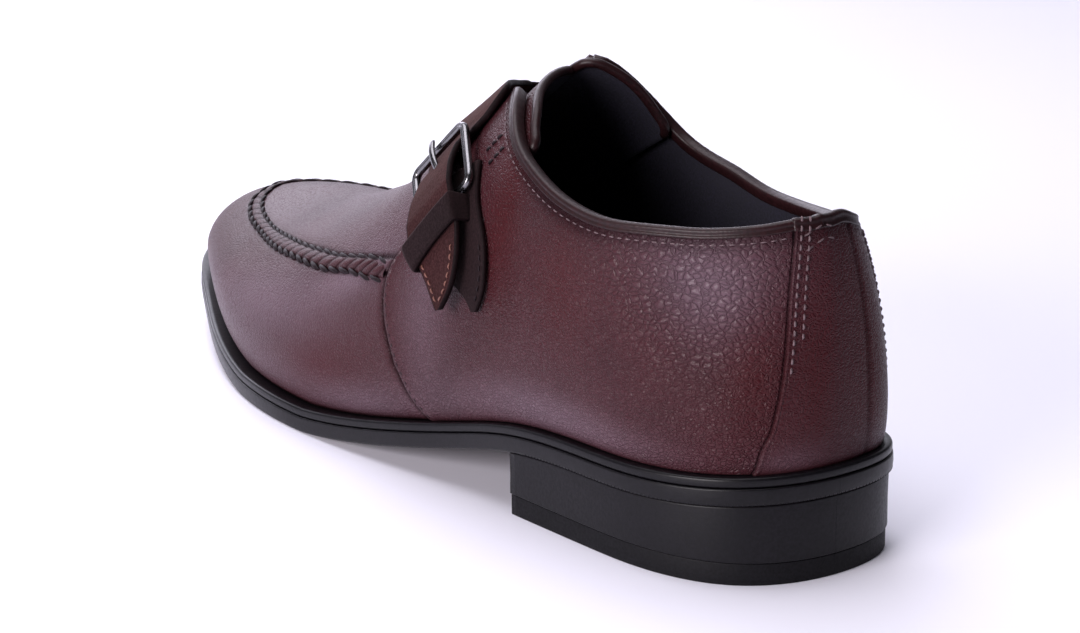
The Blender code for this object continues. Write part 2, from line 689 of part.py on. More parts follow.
def sheet_solid(name, top, low, look):
    """Closed body between two grids of points."""
    wide, deep = top.shape[0], top.shape[1]
    points = np.vstack([top.reshape(-1, 3), low.reshape(-1, 3)])
    under = wide * deep
    faces = []
    for i in range(wide - 1):
        for j in range(deep - 1):
            a, b = i * deep + j, (i + 1) * deep + j
            faces.append((a, b, b + 1, a + 1))
            faces.append((under + a + 1, under + b + 1, under + b, under + a))
    rim = [(i, 0) for i in range(wide)] + [(wide - 1, j) for j in range(1, deep)]
    rim += [(i, deep - 1) for i in range(wide - 2, -1, -1)] + [(0, j) for j in range(deep - 2, 0, -1)]
    for n, (i, j) in enumerate(rim):
        k, m = rim[(n + 1) % len(rim)]
        a, b = i * deep + j, k * deep + m
        faces.append((a, b, under + b, under + a))
    return solid(name, points, faces, look)


def skew(share):
    """The buckle and keeper cross the straps a little askew."""
    return np.interp(share, [0.28, 0.36, 0.62, 0.75], [0.0, 0.055, 0.055, 0.0])


def strap_points(table, share, side, lift):
    """Points on a strap: side 0 at its rear edge and 1 at its front edge."""
    rear = spline(table["share"], table["rear"], share)
    front = spline(table["share"], table["front"], share)
    angle = rear + (front - rear) * side
    level = share + skew(share) * (side - 0.5)
    under = np.interp(level, table["share"], table["lift"])
    real = np.where(share <= 1.0, share, 2.0 - share)
    angle = np.where(share <= 1.0, angle, 360.0 - angle)
    return skin(angle, real, under + lift)


def strap_grid(table, shares, lift, across=4):
    share, side = np.meshgrid(shares, np.linspace(0, 1, across + 1), indexing="ij")
    return strap_points(table, share, side, lift)


def straps():
    shares = np.concatenate([np.linspace(0.276, 0.64, 23), np.linspace(0.68, 1.44, 15)])
    low = strap_grid(STRAP, shares, 0.0)
    top = strap_grid(STRAP, shares, STRAP_THICK / MM)
    strap = sheet_solid("strap", top, low, SUEDE)
    shares = np.linspace(0.266, 0.515, 13)
    low = strap_grid(TAB, shares, 0.0)
    top = strap_grid(TAB, shares, TAB_THICK / MM)
    sheet_solid("buckle_tab", top, low, SUEDE)
    return strap


def keeper():
    """Loop of leather holding the strap's end down on the tab."""
    levels = np.linspace(0.372, 0.412, 5)
    layers = []
    for extra, wide in ((0.0, 0.05), (1.2, 0.11)):
        grid = []
        for level in levels:
            under = np.interp(level, STRAP["share"], STRAP["lift"])
            roof = STRAP_THICK / MM + 0.45 + extra
            rear_foot = TAB["lift"][-1] + TAB_THICK / MM + GAP / MM - under
            front_foot = 0.8 - under
            path = [(-wide, rear_foot), (-wide, (rear_foot + roof) / 2), (-wide, roof)]
            path += [(k / 4, roof) for k in range(5)]
            path += [(1 + wide, roof), (1 + wide, (front_foot + roof) / 2), (1 + wide, front_foot)]
            side, lift = np.array(path).T
            share = level - skew(level) * (side - 0.5)
            rear = spline(STRAP["share"], STRAP["rear"], share)
            front = spline(STRAP["share"], STRAP["front"], share)
            grid.append(skin(rear + (front - rear) * side, share, under + lift))
        layers.append(np.array(grid))
    return sheet_solid("strap_keeper", layers[1], layers[0], SUEDE)


def buckle():
    """Four bar frame, and the prong that reaches over its top bar."""
    rear, front, low = (skin(*BUCKLE[key]) for key in ("rear", "front", "low"))
    across = front - rear
    wide = float(np.linalg.norm(across))
    across /= wide
    start = (rear + front) / 2
    down = low - start
    down -= across * down.dot(across)
    long = float(np.linalg.norm(down))
    down /= long
    out = np.cross(down, across)
    if out[0] > 0:
        out = -out
    half = wide / 2
    round_by = 0.0022
    corners = [(-half, 0), (half, 0), (half, long), (-half, long)]
    path = []
    for n, (u, v) in enumerate(corners):
        turn_from = math.radians((180, 270, 0, 90)[n])
        cu = u - math.copysign(round_by, u)
        cv = v + (round_by if v == 0 else -round_by)
        for k in range(5):
            t = turn_from + math.radians(22.5 * k)
            path.append((cu + round_by * math.cos(t), cv + round_by * math.sin(t)))
    rings = []
    radius = BAR / 2
    for n, (u, v) in enumerate(path):
        before, after = path[n - 1], path[(n + 1) % len(path)]
        run = np.array([after[0] - before[0], after[1] - before[1]])
        run /= np.linalg.norm(run)
        aside = np.array([run[1], -run[0]])
        ring = []
        for k in range(8):
            t = math.radians(45 * k)
            du, dv = aside * radius * math.cos(t)
            spot = start + across * (u + du) + down * (v + dv) + out * radius * math.sin(t)
            ring.append(spot)
        rings.append(ring)
    loft("buckle_frame", rings, GUNMETAL, closed=True)
    # The prong: share of the frame's length from the top bar, and height over the bars in mm.
    prong_path = [(1 - (BAR / 2 + 0.0004) / long, 0.0), (0.718, -0.1), (0.564, 0.1), (0.41, 0.9),
                  (0.282, 1.9), (0.154, 2.4), (0, 2.35), (-0.103, 1.9)]
    prong_size = [0.85, 0.95, 1.0, 1.0, 1.0, 0.95, 0.85, 0.6]
    rings = []
    for n, ((v, lift), size) in enumerate(zip(prong_path, prong_size)):
        before = prong_path[max(n - 1, 0)]
        after = prong_path[min(n + 1, len(prong_path) - 1)]
        run = down * (after[0] - before[0]) * long + out * (after[1] - before[1]) * MM
        run /= np.linalg.norm(run)
        normal = np.cross(run, across)
        ring = []
        for k in range(8):
            t = math.radians(45 * k + 22.5)
            spot = start + down * v * long + out * lift * MM
            spot = spot + (across * math.cos(t) + normal * math.sin(t) * 0.8) * size * MM
            ring.append(spot)
        rings.append(ring)
    loft("buckle_prong", rings, GUNMETAL)
    # The prong's hole in the strap.
    middle = start + down * 0.36 * long + out * 1.0 * MM
    half = np.array([0.0015, 0.185 * long, 0.0045])
    points = []
    for a in (-1, 1):
        for b in (-1, 1):
            for c in (-1, 1):
                points.append(middle + across * half[0] * a + down * half[1] * b + out * half[2] * c)
    faces = [(0, 1, 3, 2), (4, 6, 7, 5), (0, 4, 5, 1), (2, 3, 7, 6), (0, 2, 6, 4), (1, 5, 7, 3)]
    cutter = solid("prong_hole", points, faces, SUEDE)
    cutter.hide_render = True
    cutter.display_type = "WIRE"
    SHOE.objects.unlink(cutter)
    CUTTERS.objects.link(cutter)
    return cutter


def cut(thing, cutter):
    change = thing.modifiers.new("cut", "BOOLEAN")
    change.operation = "DIFFERENCE"
    change.solver = "EXACT"
    change.object = cutter
    bpy.context.view_layer.update()
    ready = bpy.data.meshes.new_from_object(
        thing.evaluated_get(bpy.context.evaluated_depsgraph_get()))
    thing.modifiers.clear()
    thing.data = ready


for old in list(bpy.data.objects):
    bpy.data.objects.remove(old, do_unlink=True)
SHOE = bpy.data.collections.new(NAME)
bpy.context.scene.collection.children.link(SHOE)
CUTTERS = bpy.data.collections.new("cutters")
bpy.context.scene.collection.children.link(CUTTERS)
BURGUNDY = material("burgundy_grain_leather", (0.10, 0.022, 0.024), 0.42)
BLACK_LEATHER = material("black_sole_leather", (0.014, 0.012, 0.014), 0.45)
BLACK_RUBBER = material("black_rubber", (0.012, 0.012, 0.013), 0.7)
TAN_LINING = material("lining_leather", (0.03, 0.02, 0.018), 0.7)
BROWN_EDGE = material("binding_leather", (0.075, 0.02, 0.016), 0.5)
SUEDE = material("brown_suede", (0.045, 0.016, 0.013), 0.9)
GUNMETAL = material("gunmetal", (0.30, 0.30, 0.32), 0.3, 1.0)

EDGE = wall_edge()
outsole()
heel()
welt()
insole()
upper()
binding()
tongue()
strap = straps()
keeper()
cut(strap, buckle())
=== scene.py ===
# %% [markdown]
# A low shoe with a strap and buckle in place of laces, for the left foot.
# The solid model is loaded first and stays fixed. It gives every piece its place.
# Each step below then makes one part of the shoe as it looks: leather, edges, thread and metal.

# %% Load the solid model
import math

import bpy
import numpy as np
from mathutils import Matrix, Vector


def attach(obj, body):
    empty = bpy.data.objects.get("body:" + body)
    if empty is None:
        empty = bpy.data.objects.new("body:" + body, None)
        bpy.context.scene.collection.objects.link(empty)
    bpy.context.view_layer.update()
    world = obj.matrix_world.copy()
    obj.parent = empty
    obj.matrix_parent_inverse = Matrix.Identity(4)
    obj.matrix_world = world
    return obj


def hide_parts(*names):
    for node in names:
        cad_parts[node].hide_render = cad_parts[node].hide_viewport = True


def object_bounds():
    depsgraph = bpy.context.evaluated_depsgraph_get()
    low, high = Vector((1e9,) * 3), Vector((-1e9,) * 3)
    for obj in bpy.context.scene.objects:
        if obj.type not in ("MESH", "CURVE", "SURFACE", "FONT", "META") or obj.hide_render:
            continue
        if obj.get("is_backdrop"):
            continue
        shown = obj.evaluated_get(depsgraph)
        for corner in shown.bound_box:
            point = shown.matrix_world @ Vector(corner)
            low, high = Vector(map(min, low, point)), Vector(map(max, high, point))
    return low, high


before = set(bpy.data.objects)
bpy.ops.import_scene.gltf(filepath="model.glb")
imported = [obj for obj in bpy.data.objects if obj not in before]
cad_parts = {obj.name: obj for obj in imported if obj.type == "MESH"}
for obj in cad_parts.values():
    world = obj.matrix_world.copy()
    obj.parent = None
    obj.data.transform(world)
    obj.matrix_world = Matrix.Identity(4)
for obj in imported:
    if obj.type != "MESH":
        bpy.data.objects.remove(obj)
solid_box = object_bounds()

MM = 0.001
print("nodes:", ", ".join(sorted(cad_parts)))

# %% [markdown]
# The camera stands where the photographer stood: left of the heel, a little above the shoe.
# Two angles and a distance from the point it looks at place it, and a small roll levels it.
# It looks at the one shoe through a long lens, so that the shoe fills the frame. Turning a camera
# on its spot or changing its lens doesn't change the side from which the shoe is seen.

# %% Camera
AZIMUTH = math.radians(-33.87)
ELEVATION = math.radians(16.45)
ROLL = math.radians(-0.59)
DISTANCE = 0.64292
LOOK_AT = np.array([-24.15, 49.65, 48.80]) * MM

camera_back = np.array([math.sin(AZIMUTH) * math.cos(ELEVATION),
                        -math.cos(AZIMUTH) * math.cos(ELEVATION), math.sin(ELEVATION)])
level_right = np.array([math.cos(AZIMUTH), math.sin(AZIMUTH), 0.0])
level_up = np.cross(camera_back, level_right)
camera_right = level_right * math.cos(ROLL) + level_up * math.sin(ROLL)
camera_up = level_up * math.cos(ROLL) - level_right * math.sin(ROLL)

camera_data = bpy.data.cameras.new("camera")
camera_data.sensor_width = 36.0
camera_data.lens = 84.6
camera_data.clip_start = 0.02
camera = bpy.data.objects.new("camera", camera_data)
bpy.context.scene.collection.objects.link(camera)
spot = LOOK_AT + camera_back * DISTANCE
camera.matrix_world = Matrix([[camera_right[i], camera_up[i], camera_back[i], spot[i]]
                              for i in range(3)] + [[0, 0, 0, 1]])
bpy.context.scene.camera = camera
print("camera at", spot.round(3), "m")

# %% [markdown]
# The shoe's sizes and its form are the ones the solid model was made from. A shoe is built
# round a last, a wooden foot, so the last comes first: a table for the outline of the sole,
# one for the height of the arch, and a few for the half sections on each side.

# %% Sizes and tables
# Sizes in metres. Everything else follows from them.
LENGTH = 0.305
BALL_WIDTH = 0.1014
HEEL_HEIGHT = 0.0208
OUTSOLE = 0.0044
WELT = 0.0026
TOP_LIFT = 0.0056
HEEL_LENGTH = 0.0795
WALL = 0.0017
INSOLE = 0.0020
INSTEP = 0.0760
STRAP_THICK = 0.0018
TAB_THICK = 0.0013
TONGUE_THICK = 0.0018
GAP = 0.0003
KX = BALL_WIDTH / 0.1014
KY = LENGTH / 0.305
KZ = INSTEP / 0.0760

# Plan of the sole: angle from the heel's back (0) to the toe (180), width and middle in mm.
PLAN = {
    "angle": [0, 10, 20, 30, 40, 50, 60, 70, 80, 90, 100, 110, 120, 130, 140, 150, 160, 170, 180],
    "width": [0, 28.5, 49.6, 62.1, 68.6, 71.2, 72.5, 73.8, 78.6, 88.0, 97.6, 101.4, 98.3, 88.9,
              76.2, 60.6, 42.3, 21.8, 0],
    "middle": [3.0, 3.6, 2.9, 1.4, 0.0, -0.9, -2.1, -3.6, -5.4, -4.6, -2.0, 2.0, 6.2, 9.2, 10.6,
               9.4, 7.4, 5.8, 5.0],
}
HEEL_BACK = -35.7 * MM * KY

# Underside of the outsole over the floor: place along the foot and height in mm.
ARCH = {
    "along": [-36, 0, 44, 68, 92, 117, 141, 165, 193, 230, 270],
    "height": [20.8, 18.9, 16.9, 11.4, 6.0, 1.6, -0.5, -0.3, 1.9, 6.5, 14.0],
}

# Bare ledge of the welt outside the upper, in mm, by plan angle.
LEDGE = {"angle": [0, 40, 80, 110, 150, 180], "ledge": [3.4, 3.6, 4.2, 5.0, 5.2, 4.6]}

# Line of the section centres and the height of the last's ridge over it, in mm.
CENTRE = {"along": [-10, 30, 60, 90, 120, 150, 185, 222],
          "across": [2.0, 0.5, 1.5, 4.5, 7.5, 10.5, 10.6, 10.1]}
RIDGE = {"along": [-10, 30, 60, 85, 105, 125, 150, 175, 200, 222],
         "height": [115.1, 126.7, 118.3, 102.8, 90.1, 76.1, 63.1, 53.7, 46.4, 44.3]}
HEEL_CENTRE = 2.0
TOE_CENTRE = 222.0

# Half sections of the last by plan angle: bulge over the feather line, its height,
# and the two roundness powers (up and across).
LATERAL = {
    "angle": [0, 30, 60, 80, 95, 110, 130, 150, 180],
    "bulge": [0.97, 1.38, 4.5, 4.0, 4.0, 4.5, 4.5, 3.14, 2.3],
    "rise": [11.4, 9.6, 16.0, 16.0, 15.0, 14.0, 13.0, 8.1, 7.4],
    "up": [2.28, 1.83, 2.6, 2.3, 2.1, 2.2, 2.09, 1.78, 1.8],
    "over": [1.58, 1.51, 1.6, 1.5, 1.5, 1.6, 1.78, 2.04, 2.04],
}
MEDIAL = {
    "angle": [0, 30, 60, 80, 95, 110, 130, 150, 180],
    "bulge": [0.97, 1.38, 4.5, 5.5, 4.5, 3.5, 3.5, 3.14, 2.3],
    "rise": [11.4, 9.6, 18.0, 20.0, 18.0, 14.0, 12.0, 8.1, 7.4],
    "up": [2.28, 1.83, 2.6, 2.3, 2.1, 2.2, 2.09, 1.78, 1.8],
    "over": [1.58, 1.51, 1.6, 1.5, 1.5, 1.6, 1.78, 2.04, 2.04],
}
BULGE_AT = 0.22

# Collar edge by signed angle (minus is medial): how far up the section it stands.
COLLAR = {
    "angle": [-72.6, -72.3, -71.9, -71.3, -70.5, -69.2, -65.5, -60.5, -56, -50, -40.5, -25.5, -12, -6,
              0, 5, 10, 22, 36, 41.5, 46.5, 50.5, 55.5, 59.5, 62.5, 65, 67, 69.5, 72],
    "share": [0.872, 0.824, 0.765, 0.692, 0.622, 0.550, 0.456, 0.413, 0.396, 0.408, 0.461, 0.524,
              0.526, 0.522, 0.506, 0.518, 0.529, 0.543, 0.515, 0.488, 0.462, 0.451, 0.457, 0.484,
              0.519, 0.566, 0.615, 0.680, 0.738],
}
# Throat slot from the collar's corners to its front end, by angle.
SLOT_END = 88.0
SLOT_LATERAL = {"angle": [73.4, 75, 78, 81, 84, 86.5, 87.6, 88],
                "share": [0.752, 0.775, 0.80, 0.83, 0.86, 0.90, 0.94, 1.0]}
SLOT_MEDIAL = {"angle": [74.6, 76, 78, 81, 84, 86.5, 87.6, 88],
               "share": [0.875, 0.87, 0.87, 0.88, 0.895, 0.92, 0.95, 1.0]}
BINDING = 3.0

# Seams as sideways shifts of the grid lines, in degrees, by share of the section.
QUARTER_SEAM = {"share": [0, 0.07, 0.14, 0.2, 0.25, 0.3, 0.375, 0.405, 0.43, 0.47, 0.6, 0.85, 1.0],
                "shift": [-3.6, -3.0, -1.6, -0.4, 1.0, 2.0, 2.4, 1.6, -0.2, -1.6, -1.8, -0.5, 0]}
QUARTER_AT = 79.0
PATCH_SEAM = {"share": [0, 0.084, 0.188, 0.25, 0.306, 0.363, 0.419, 0.456, 0.53, 1.0],
              "shift": [6.5, 5.5, 4.0, 2.0, 0.5, -0.5, -1.5, -2.5, -4.5, -4.5]}
PATCH_LATERAL = 10.0
PATCH_MEDIAL = -25.5

# Raised apron band: lower and upper edge by angle.
APRON = {
    "angle": [79, 82, 90, 97, 104, 113, 124, 132, 140, 148, 157, 165, 180],
    "lower": [0.365, 0.381, 0.428, 0.468, 0.506, 0.547, 0.600, 0.622, 0.652, 0.690, 0.735, 0.755,
              0.760],
    "upper": [0.392, 0.409, 0.458, 0.508, 0.545, 0.592, 0.642, 0.672, 0.705, 0.742, 0.775, 0.785,
              0.790],
}

# How far each zone stands off the last, in mm.
VAMP_OFF = -0.6
QUARTER_OFF = 0.4
PATCH_OFF = 0.9
BAND_UP = 0.8
INNER_OFF = VAMP_OFF - WALL / MM

# Straps by share (below 1 lateral, over 1 medial): rear edge, front edge, lift of the underside.
STRAP = {
    "share": [0.276, 0.297, 0.323, 0.368, 0.418, 0.446, 0.489, 0.54, 0.58, 0.62, 0.66, 0.70, 0.74,
              0.78, 0.82, 0.86, 0.90, 0.95, 1.0, 1.05, 1.12, 1.25, 1.36, 1.44],
    "rear": [68.8, 67.6, 67.0, 67.2, 68.2, 68.9, 70.3, 72.0, 72.9, 73.0, 72.2, 72.0, 73.0, 75.0,
             76.8, 78.4, 79.8, 81.0, 81.8, 81.9, 81.4, 80.6, 80.4, 81.5],
    "front": [69.6, 70.8, 72.1, 74.2, 75.4, 76.0, 76.8, 78.15, 79.8, 81.4, 82.2, 82.9, 83.9, 85.0,
              86.4, 87.8, 89.2, 90.5, 91.3, 91.6, 91.5, 90.5, 89.3, 87.5],
    "lift": [4.8, 4.4, 4.0, 3.9, 5.5, 6.0, 5.2, 3.7, 1.5, 0.9, 1.2, 1.3, 1.3, 1.2, 1.0, 0.9, 0.8,
             0.8, 0.8, 0.8, 0.8, 0.8, 0.8, 0.8],
}
TAB = {
    "share": [0.266, 0.284, 0.31, 0.368, 0.418, 0.47, 0.515],
    "rear": [65.0, 64.2, 63.9, 64.8, 66.6, 68.0, 68.9],
    "front": [65.8, 67.0, 69.4, 73.2, 75.0, 76.8, 78.0],
    "lift": [0.9, 0.8, 0.7, 0.7, 0.7, 0.7, 0.7],
}
# Tongue's rear edge by share, on each side.
TONGUE_EDGE = {
    "share": [0.50, 0.52, 0.56, 0.62, 0.68, 0.74, 0.80, 0.87, 0.94, 1.0],
    "lateral": [65.0, 63.4, 64.0, 66.0, 68.2, 70.1, 71.6, 73.0, 74.1, 74.8],
    "medial": [70.0, 69.0, 69.0, 69.6, 70.1, 70.7, 71.3, 72.0, 73.3, 74.8],
}
TONGUE_FRONT = 97.0

# Buckle over the strap: the ends of its top bar and the middle of its low bar.
# Each is a place on the last and a lift over it in mm, so the buckle follows the strap.
BUCKLE = {
    "rear": (73.146, 0.6108, 5.683),
    "front": (79.493, 0.5502, 5.077),
    "low": (71.361, 0.4372, 3.942),
}

print("last tables for a shoe", LENGTH, "m long")

# %% [markdown]
# A smooth curve through a table's points gives every value in between. Places on the last are
# named by two numbers: an angle round the foot, from 0 at the back of the heel along the outer
# side to 180 at the toe and on to 360, and a share, from 0 at the sole to 1 on the ridge.

# %% The last
BENDS = {}


def spline(xs, ys, x):
    """Natural cubic curve through the table's points."""
    xs = np.asarray(xs, float)
    ys = np.asarray(ys, float)
    n = len(xs)
    step = np.diff(xs)
    key = (xs.tobytes(), ys.tobytes())
    if key not in BENDS:
        left = np.eye(n)
        right = np.zeros(n)
        for i in range(1, n - 1):
            left[i, i - 1:i + 2] = step[i - 1], 2 * (step[i - 1] + step[i]), step[i]
            right[i] = 6 * ((ys[i + 1] - ys[i]) / step[i] - (ys[i] - ys[i - 1]) / step[i - 1])
        BENDS[key] = np.linalg.solve(left, right)
    bend = BENDS[key]
    x = np.clip(np.asarray(x, float), xs[0], xs[-1])
    k = np.clip(np.searchsorted(xs, x) - 1, 0, n - 2)
    t = x - xs[k]
    h = step[k]
    slope = (ys[k + 1] - ys[k]) / h - h * (2 * bend[k] + bend[k + 1]) / 6
    return ys[k] + t * slope + t ** 2 * bend[k] / 2 + t ** 3 * (bend[k + 1] - bend[k]) / (6 * h)


def fold(angle):
    """Angle from the heel's back on either side, and the side (-1 lateral, 1 medial)."""
    angle = np.mod(angle, 360.0)
    side = np.where(angle <= 180.0, -1.0, 1.0)
    return np.where(angle <= 180.0, angle, 360.0 - angle), side


def plan(angle):
    """Edge of the sole seen from above."""
    folded, side = fold(angle)
    width = spline(PLAN["angle"], PLAN["width"], folded) * KX * MM
    middle = spline(PLAN["angle"], PLAN["middle"], folded) * KX * MM
    along = HEEL_BACK + LENGTH * (1 - np.cos(np.radians(folded))) / 2
    return np.stack([middle + side * width / 2, along], -1)


def plan_inset(angle, inset):
    """The sole's edge moved inwards."""
    angle = np.asarray(angle, float)
    run = plan(angle + 0.5) - plan(angle - 0.5)
    out = np.stack([run[..., 1], -run[..., 0]], -1)
    out /= np.linalg.norm(out, axis=-1, keepdims=True)
    return plan(angle) + out * np.asarray(inset)[..., None]


def sole_low(along):
    """Height of the outsole's underside: heel seat, arch, flat ball and toe spring."""
    place = np.asarray(along, float) / (MM * KY)
    return np.maximum(spline(ARCH["along"], ARCH["height"], place), 0.0) * MM


def feather_low(along):
    """Top of the welt, where the upper starts."""
    return sole_low(along) + OUTSOLE + GAP + WELT


def soft_clamp(y, low, high, soft=10.0):
    y = low + soft * np.log1p(np.exp(np.clip((y - low) / soft, -50, 50)))
    return high - soft * np.log1p(np.exp(np.clip((high - y) / soft, -50, 50)))


def centre(angle):
    """Point under the last's ridge that a section turns about."""
    along = soft_clamp(plan(angle)[..., 1] / (MM * KY), HEEL_CENTRE, TOE_CENTRE)
    across = spline(CENTRE["along"], CENTRE["across"], along) * KX
    return np.stack([across, along * KY], -1) * MM


def section(angle):
    """The four section numbers at an angle, lateral or medial."""
    folded, side = fold(angle)
    found = []
    for key in ("bulge", "rise", "up", "over"):
        lateral = spline(LATERAL["angle"], LATERAL[key], folded)
        medial = spline(MEDIAL["angle"], MEDIAL[key], folded)
        found.append(np.where(side < 0, lateral, medial))
    return found


def last(angle, share):
    """Point on the last: share 0 at the feather line, 1 on the ridge."""
    angle, share = np.broadcast_arrays(np.asarray(angle, float), np.asarray(share, float))
    folded, side = fold(angle)
    ledge = spline(LEDGE["angle"], LEDGE["ledge"], folded) * MM
    foot = plan_inset(angle, ledge)
    mid = centre(angle)
    out = foot - mid
    reach = np.linalg.norm(out, axis=-1)
    out = out / reach[..., None]
    bulge, rise, up, over = section(angle)
    base = feather_low(foot[..., 1])
    belly = base + rise * MM
    ridge = spline(RIDGE["along"], RIDGE["height"], mid[..., 1] / (MM * KY)) * KZ * MM
    turn = np.clip(share / BULGE_AT, 0, 1) * np.pi / 2
    low_r = reach + bulge * MM * np.sin(turn)
    low_z = base + rise * MM * (1 - np.cos(turn)) ** 0.9
    turn = np.clip((share - BULGE_AT) / (1 - BULGE_AT), 0, 1) * np.pi / 2
    high_r = (reach + bulge * MM) * np.maximum(np.cos(turn), 0) ** (2 / over)
    high_z = belly + (ridge - belly) * np.sin(turn) ** (2 / up)
    radius = np.where(share < BULGE_AT, low_r, high_r)
    height = np.where(share < BULGE_AT, low_z, high_z)
    return np.concatenate([mid + out * radius[..., None], height[..., None]], -1)


def facing(angle, share):
    """Outward direction of the last's surface."""
    angle, share = np.broadcast_arrays(np.asarray(angle, float), np.asarray(share, float))
    share = np.minimum(share, 0.985)
    round_it = last(angle + 0.4, share) - last(angle - 0.4, share)
    above = share + 0.004
    below = np.maximum(share - 0.004, 0)
    rise = last(angle, above) - last(angle, below)
    out = np.cross(rise, round_it)
    out /= np.maximum(np.linalg.norm(out, axis=-1, keepdims=True), 1e-12)
    mid = centre(angle)
    core = np.concatenate([mid, feather_low(mid[..., 1:2]) + 0.020], -1)
    return out * np.sign((out * (last(angle, share) - core)).sum(-1, keepdims=True))


def skin(angle, share, lift):
    """Point a given distance (mm) off the last; the two sides agree on the ridge."""
    angle, share = np.broadcast_arrays(np.asarray(angle, float), np.asarray(share, float))
    out = facing(angle, share)
    twin = facing(360.0 - angle, share)
    top = np.clip((share - 0.93) / 0.07, 0, 1)[..., None]
    mixed = out * (1 - top / 2) + twin * top / 2
    mixed /= np.linalg.norm(mixed, axis=-1, keepdims=True)
    return last(angle, share) + mixed * (np.asarray(lift) * MM)[..., None]


print("the ridge is", round(float(last(90.0, 1.0)[2]) / MM, 1), "mm high half way along the shoe")

# %% [markdown]
# The grid lines of the upper are moved sideways so that some of them run exactly along a seam.
# Its top edge lies a little under the collar's line, because the binding covers it, and then
# goes round the slot over the tongue.

# %% Seams and top edge
def signed(angle):
    return (np.asarray(angle, float) + 180.0) % 360.0 - 180.0


def window(angle, middle, wide):
    t = np.clip(np.abs(signed(angle) - middle) / wide, 0, 1)
    return np.cos(t * np.pi / 2) ** 2


def seam_shift(angle, share):
    """Sideways shift of the grid lines so that one of them follows each seam."""
    quarter = spline(QUARTER_SEAM["share"], QUARTER_SEAM["shift"], share)
    patch = spline(PATCH_SEAM["share"], PATCH_SEAM["shift"], share)
    moved = window(angle, QUARTER_AT, 18.0) * quarter
    moved = moved - window(angle, -QUARTER_AT, 18.0) * quarter
    moved = moved + window(angle, PATCH_LATERAL, 17.0) * patch
    return moved - window(angle, PATCH_MEDIAL, 17.0) * patch


def collar_share(angle):
    return spline(COLLAR["angle"], COLLAR["share"], signed(angle))


def wall_edge(drop):
    """Top edge of the upper's wall by signed angle: under the binding, then round the slot."""
    turn = np.linspace(COLLAR["angle"][0], COLLAR["angle"][-1], 580)
    share = collar_share(turn)
    line = last(turn, share)
    run = np.gradient(line, axis=0)
    run /= np.linalg.norm(run, axis=-1, keepdims=True)
    out = facing(turn, share)
    down = np.cross(out, run)
    down *= -np.sign(down[:, 2:3])
    by_angle = (last(turn + 0.2, share) - last(turn - 0.2, share)) / 0.4
    by_share = (last(turn, share + 0.002) - last(turn, share - 0.002)) / 0.004
    step = down * drop * MM
    moved = []
    for a, b, s, angle, up in zip(by_angle, by_share, step, turn, share):
        grid = np.stack([a, b], -1)
        change = np.linalg.lstsq(grid, s, rcond=None)[0]
        moved.append([angle + change[0], up + change[1]])
    moved = np.array(moved)
    start = int(np.argmin(moved[:200, 0]))
    moved = moved[start:]
    moved = moved[moved[:, 0] < SLOT_LATERAL["angle"][0] - 0.4]
    lateral = np.stack([SLOT_LATERAL["angle"], SLOT_LATERAL["share"]], -1)
    medial = np.stack([SLOT_MEDIAL["angle"], SLOT_MEDIAL["share"]], -1)
    medial = medial[::-1] * np.array([-1, 1])
    return np.vstack([medial, moved, lateral])


EDGE = wall_edge(BINDING - 0.9)
print("top edge follows", len(EDGE), "points")

# %% [markdown]
# Two rows of the grid carry the lower and upper edge of the apron's raised band. Below them the
# rows are spread from the sole to the fullest height of the side, and above them to the top edge.

# %% Rows of the upper
LOW_ROW = 0.497
HIGH_ROW = 0.553
BULGE_ROW = 0.24


def top_share(angle):
    turn = signed(angle)
    edge = np.interp(turn, EDGE[:, 0], EDGE[:, 1])
    return np.where(np.abs(turn) >= SLOT_END, 1.0, edge)


def row_share(angle, row):
    """Share of the section for a row, so that two rows carry the apron band's edges."""
    folded, side = fold(angle)
    top = top_share(angle)
    low = spline(APRON["angle"], APRON["lower"], np.clip(folded, 79, 180))
    high = spline(APRON["angle"], APRON["upper"], np.clip(folded, 79, 180))
    blend = np.clip((folded - 60) / 19, 0, 1)
    plain_low = BULGE_AT + (top - BULGE_AT) * 0.38
    plain_high = BULGE_AT + (top - BULGE_AT) * 0.46
    low = plain_low * (1 - blend) + low * blend
    high = plain_high * (1 - blend) + high * blend
    share = np.where(row < BULGE_ROW, row / BULGE_ROW * BULGE_AT, 0.0)
    share = np.where((row >= BULGE_ROW) & (row < LOW_ROW),
                     BULGE_AT + (low - BULGE_AT) * (row - BULGE_ROW) / (LOW_ROW - BULGE_ROW), share)
    share = np.where((row >= LOW_ROW) & (row < HIGH_ROW),
                     low + (high - low) * (row - LOW_ROW) / (HIGH_ROW - LOW_ROW), share)
    return np.where(row >= HIGH_ROW,
                    high + (top - high) * (row - HIGH_ROW) / (1 - HIGH_ROW), share)


print("top edge at share", round(float(top_share(0.0)), 3), "at the heel's back")

# %% [markdown]
# A strap is a ribbon that crosses the last. At each share it has a rear edge, a front edge and a
# height over the leather, so a place on it is its share and how far across the ribbon it lies.

# %% Places on a strap
def skew(share):
    """The buckle and keeper cross the straps a little askew."""
    return np.interp(share, [0.28, 0.36, 0.62, 0.75], [0.0, 0.055, 0.055, 0.0])


def strap_points(table, share, side, lift):
    """Points on a strap: side 0 at its rear edge and 1 at its front edge."""
    rear = spline(table["share"], table["rear"], share)
    front = spline(table["share"], table["front"], share)
    angle = rear + (front - rear) * side
    level = share + skew(share) * (side - 0.5)
    under = np.interp(level, table["share"], table["lift"])
    real = np.where(share <= 1.0, share, 2.0 - share)
    angle = np.where(share <= 1.0, angle, 360.0 - angle)
    return skin(angle, real, under + lift)


strap_ends = strap_points(STRAP, np.full(2, 0.54), np.array([0.0, 1.0]), np.zeros(2))
print("strap", round(float(np.linalg.norm(np.diff(strap_ends, axis=0))) / MM, 1),
      "mm wide under the buckle")

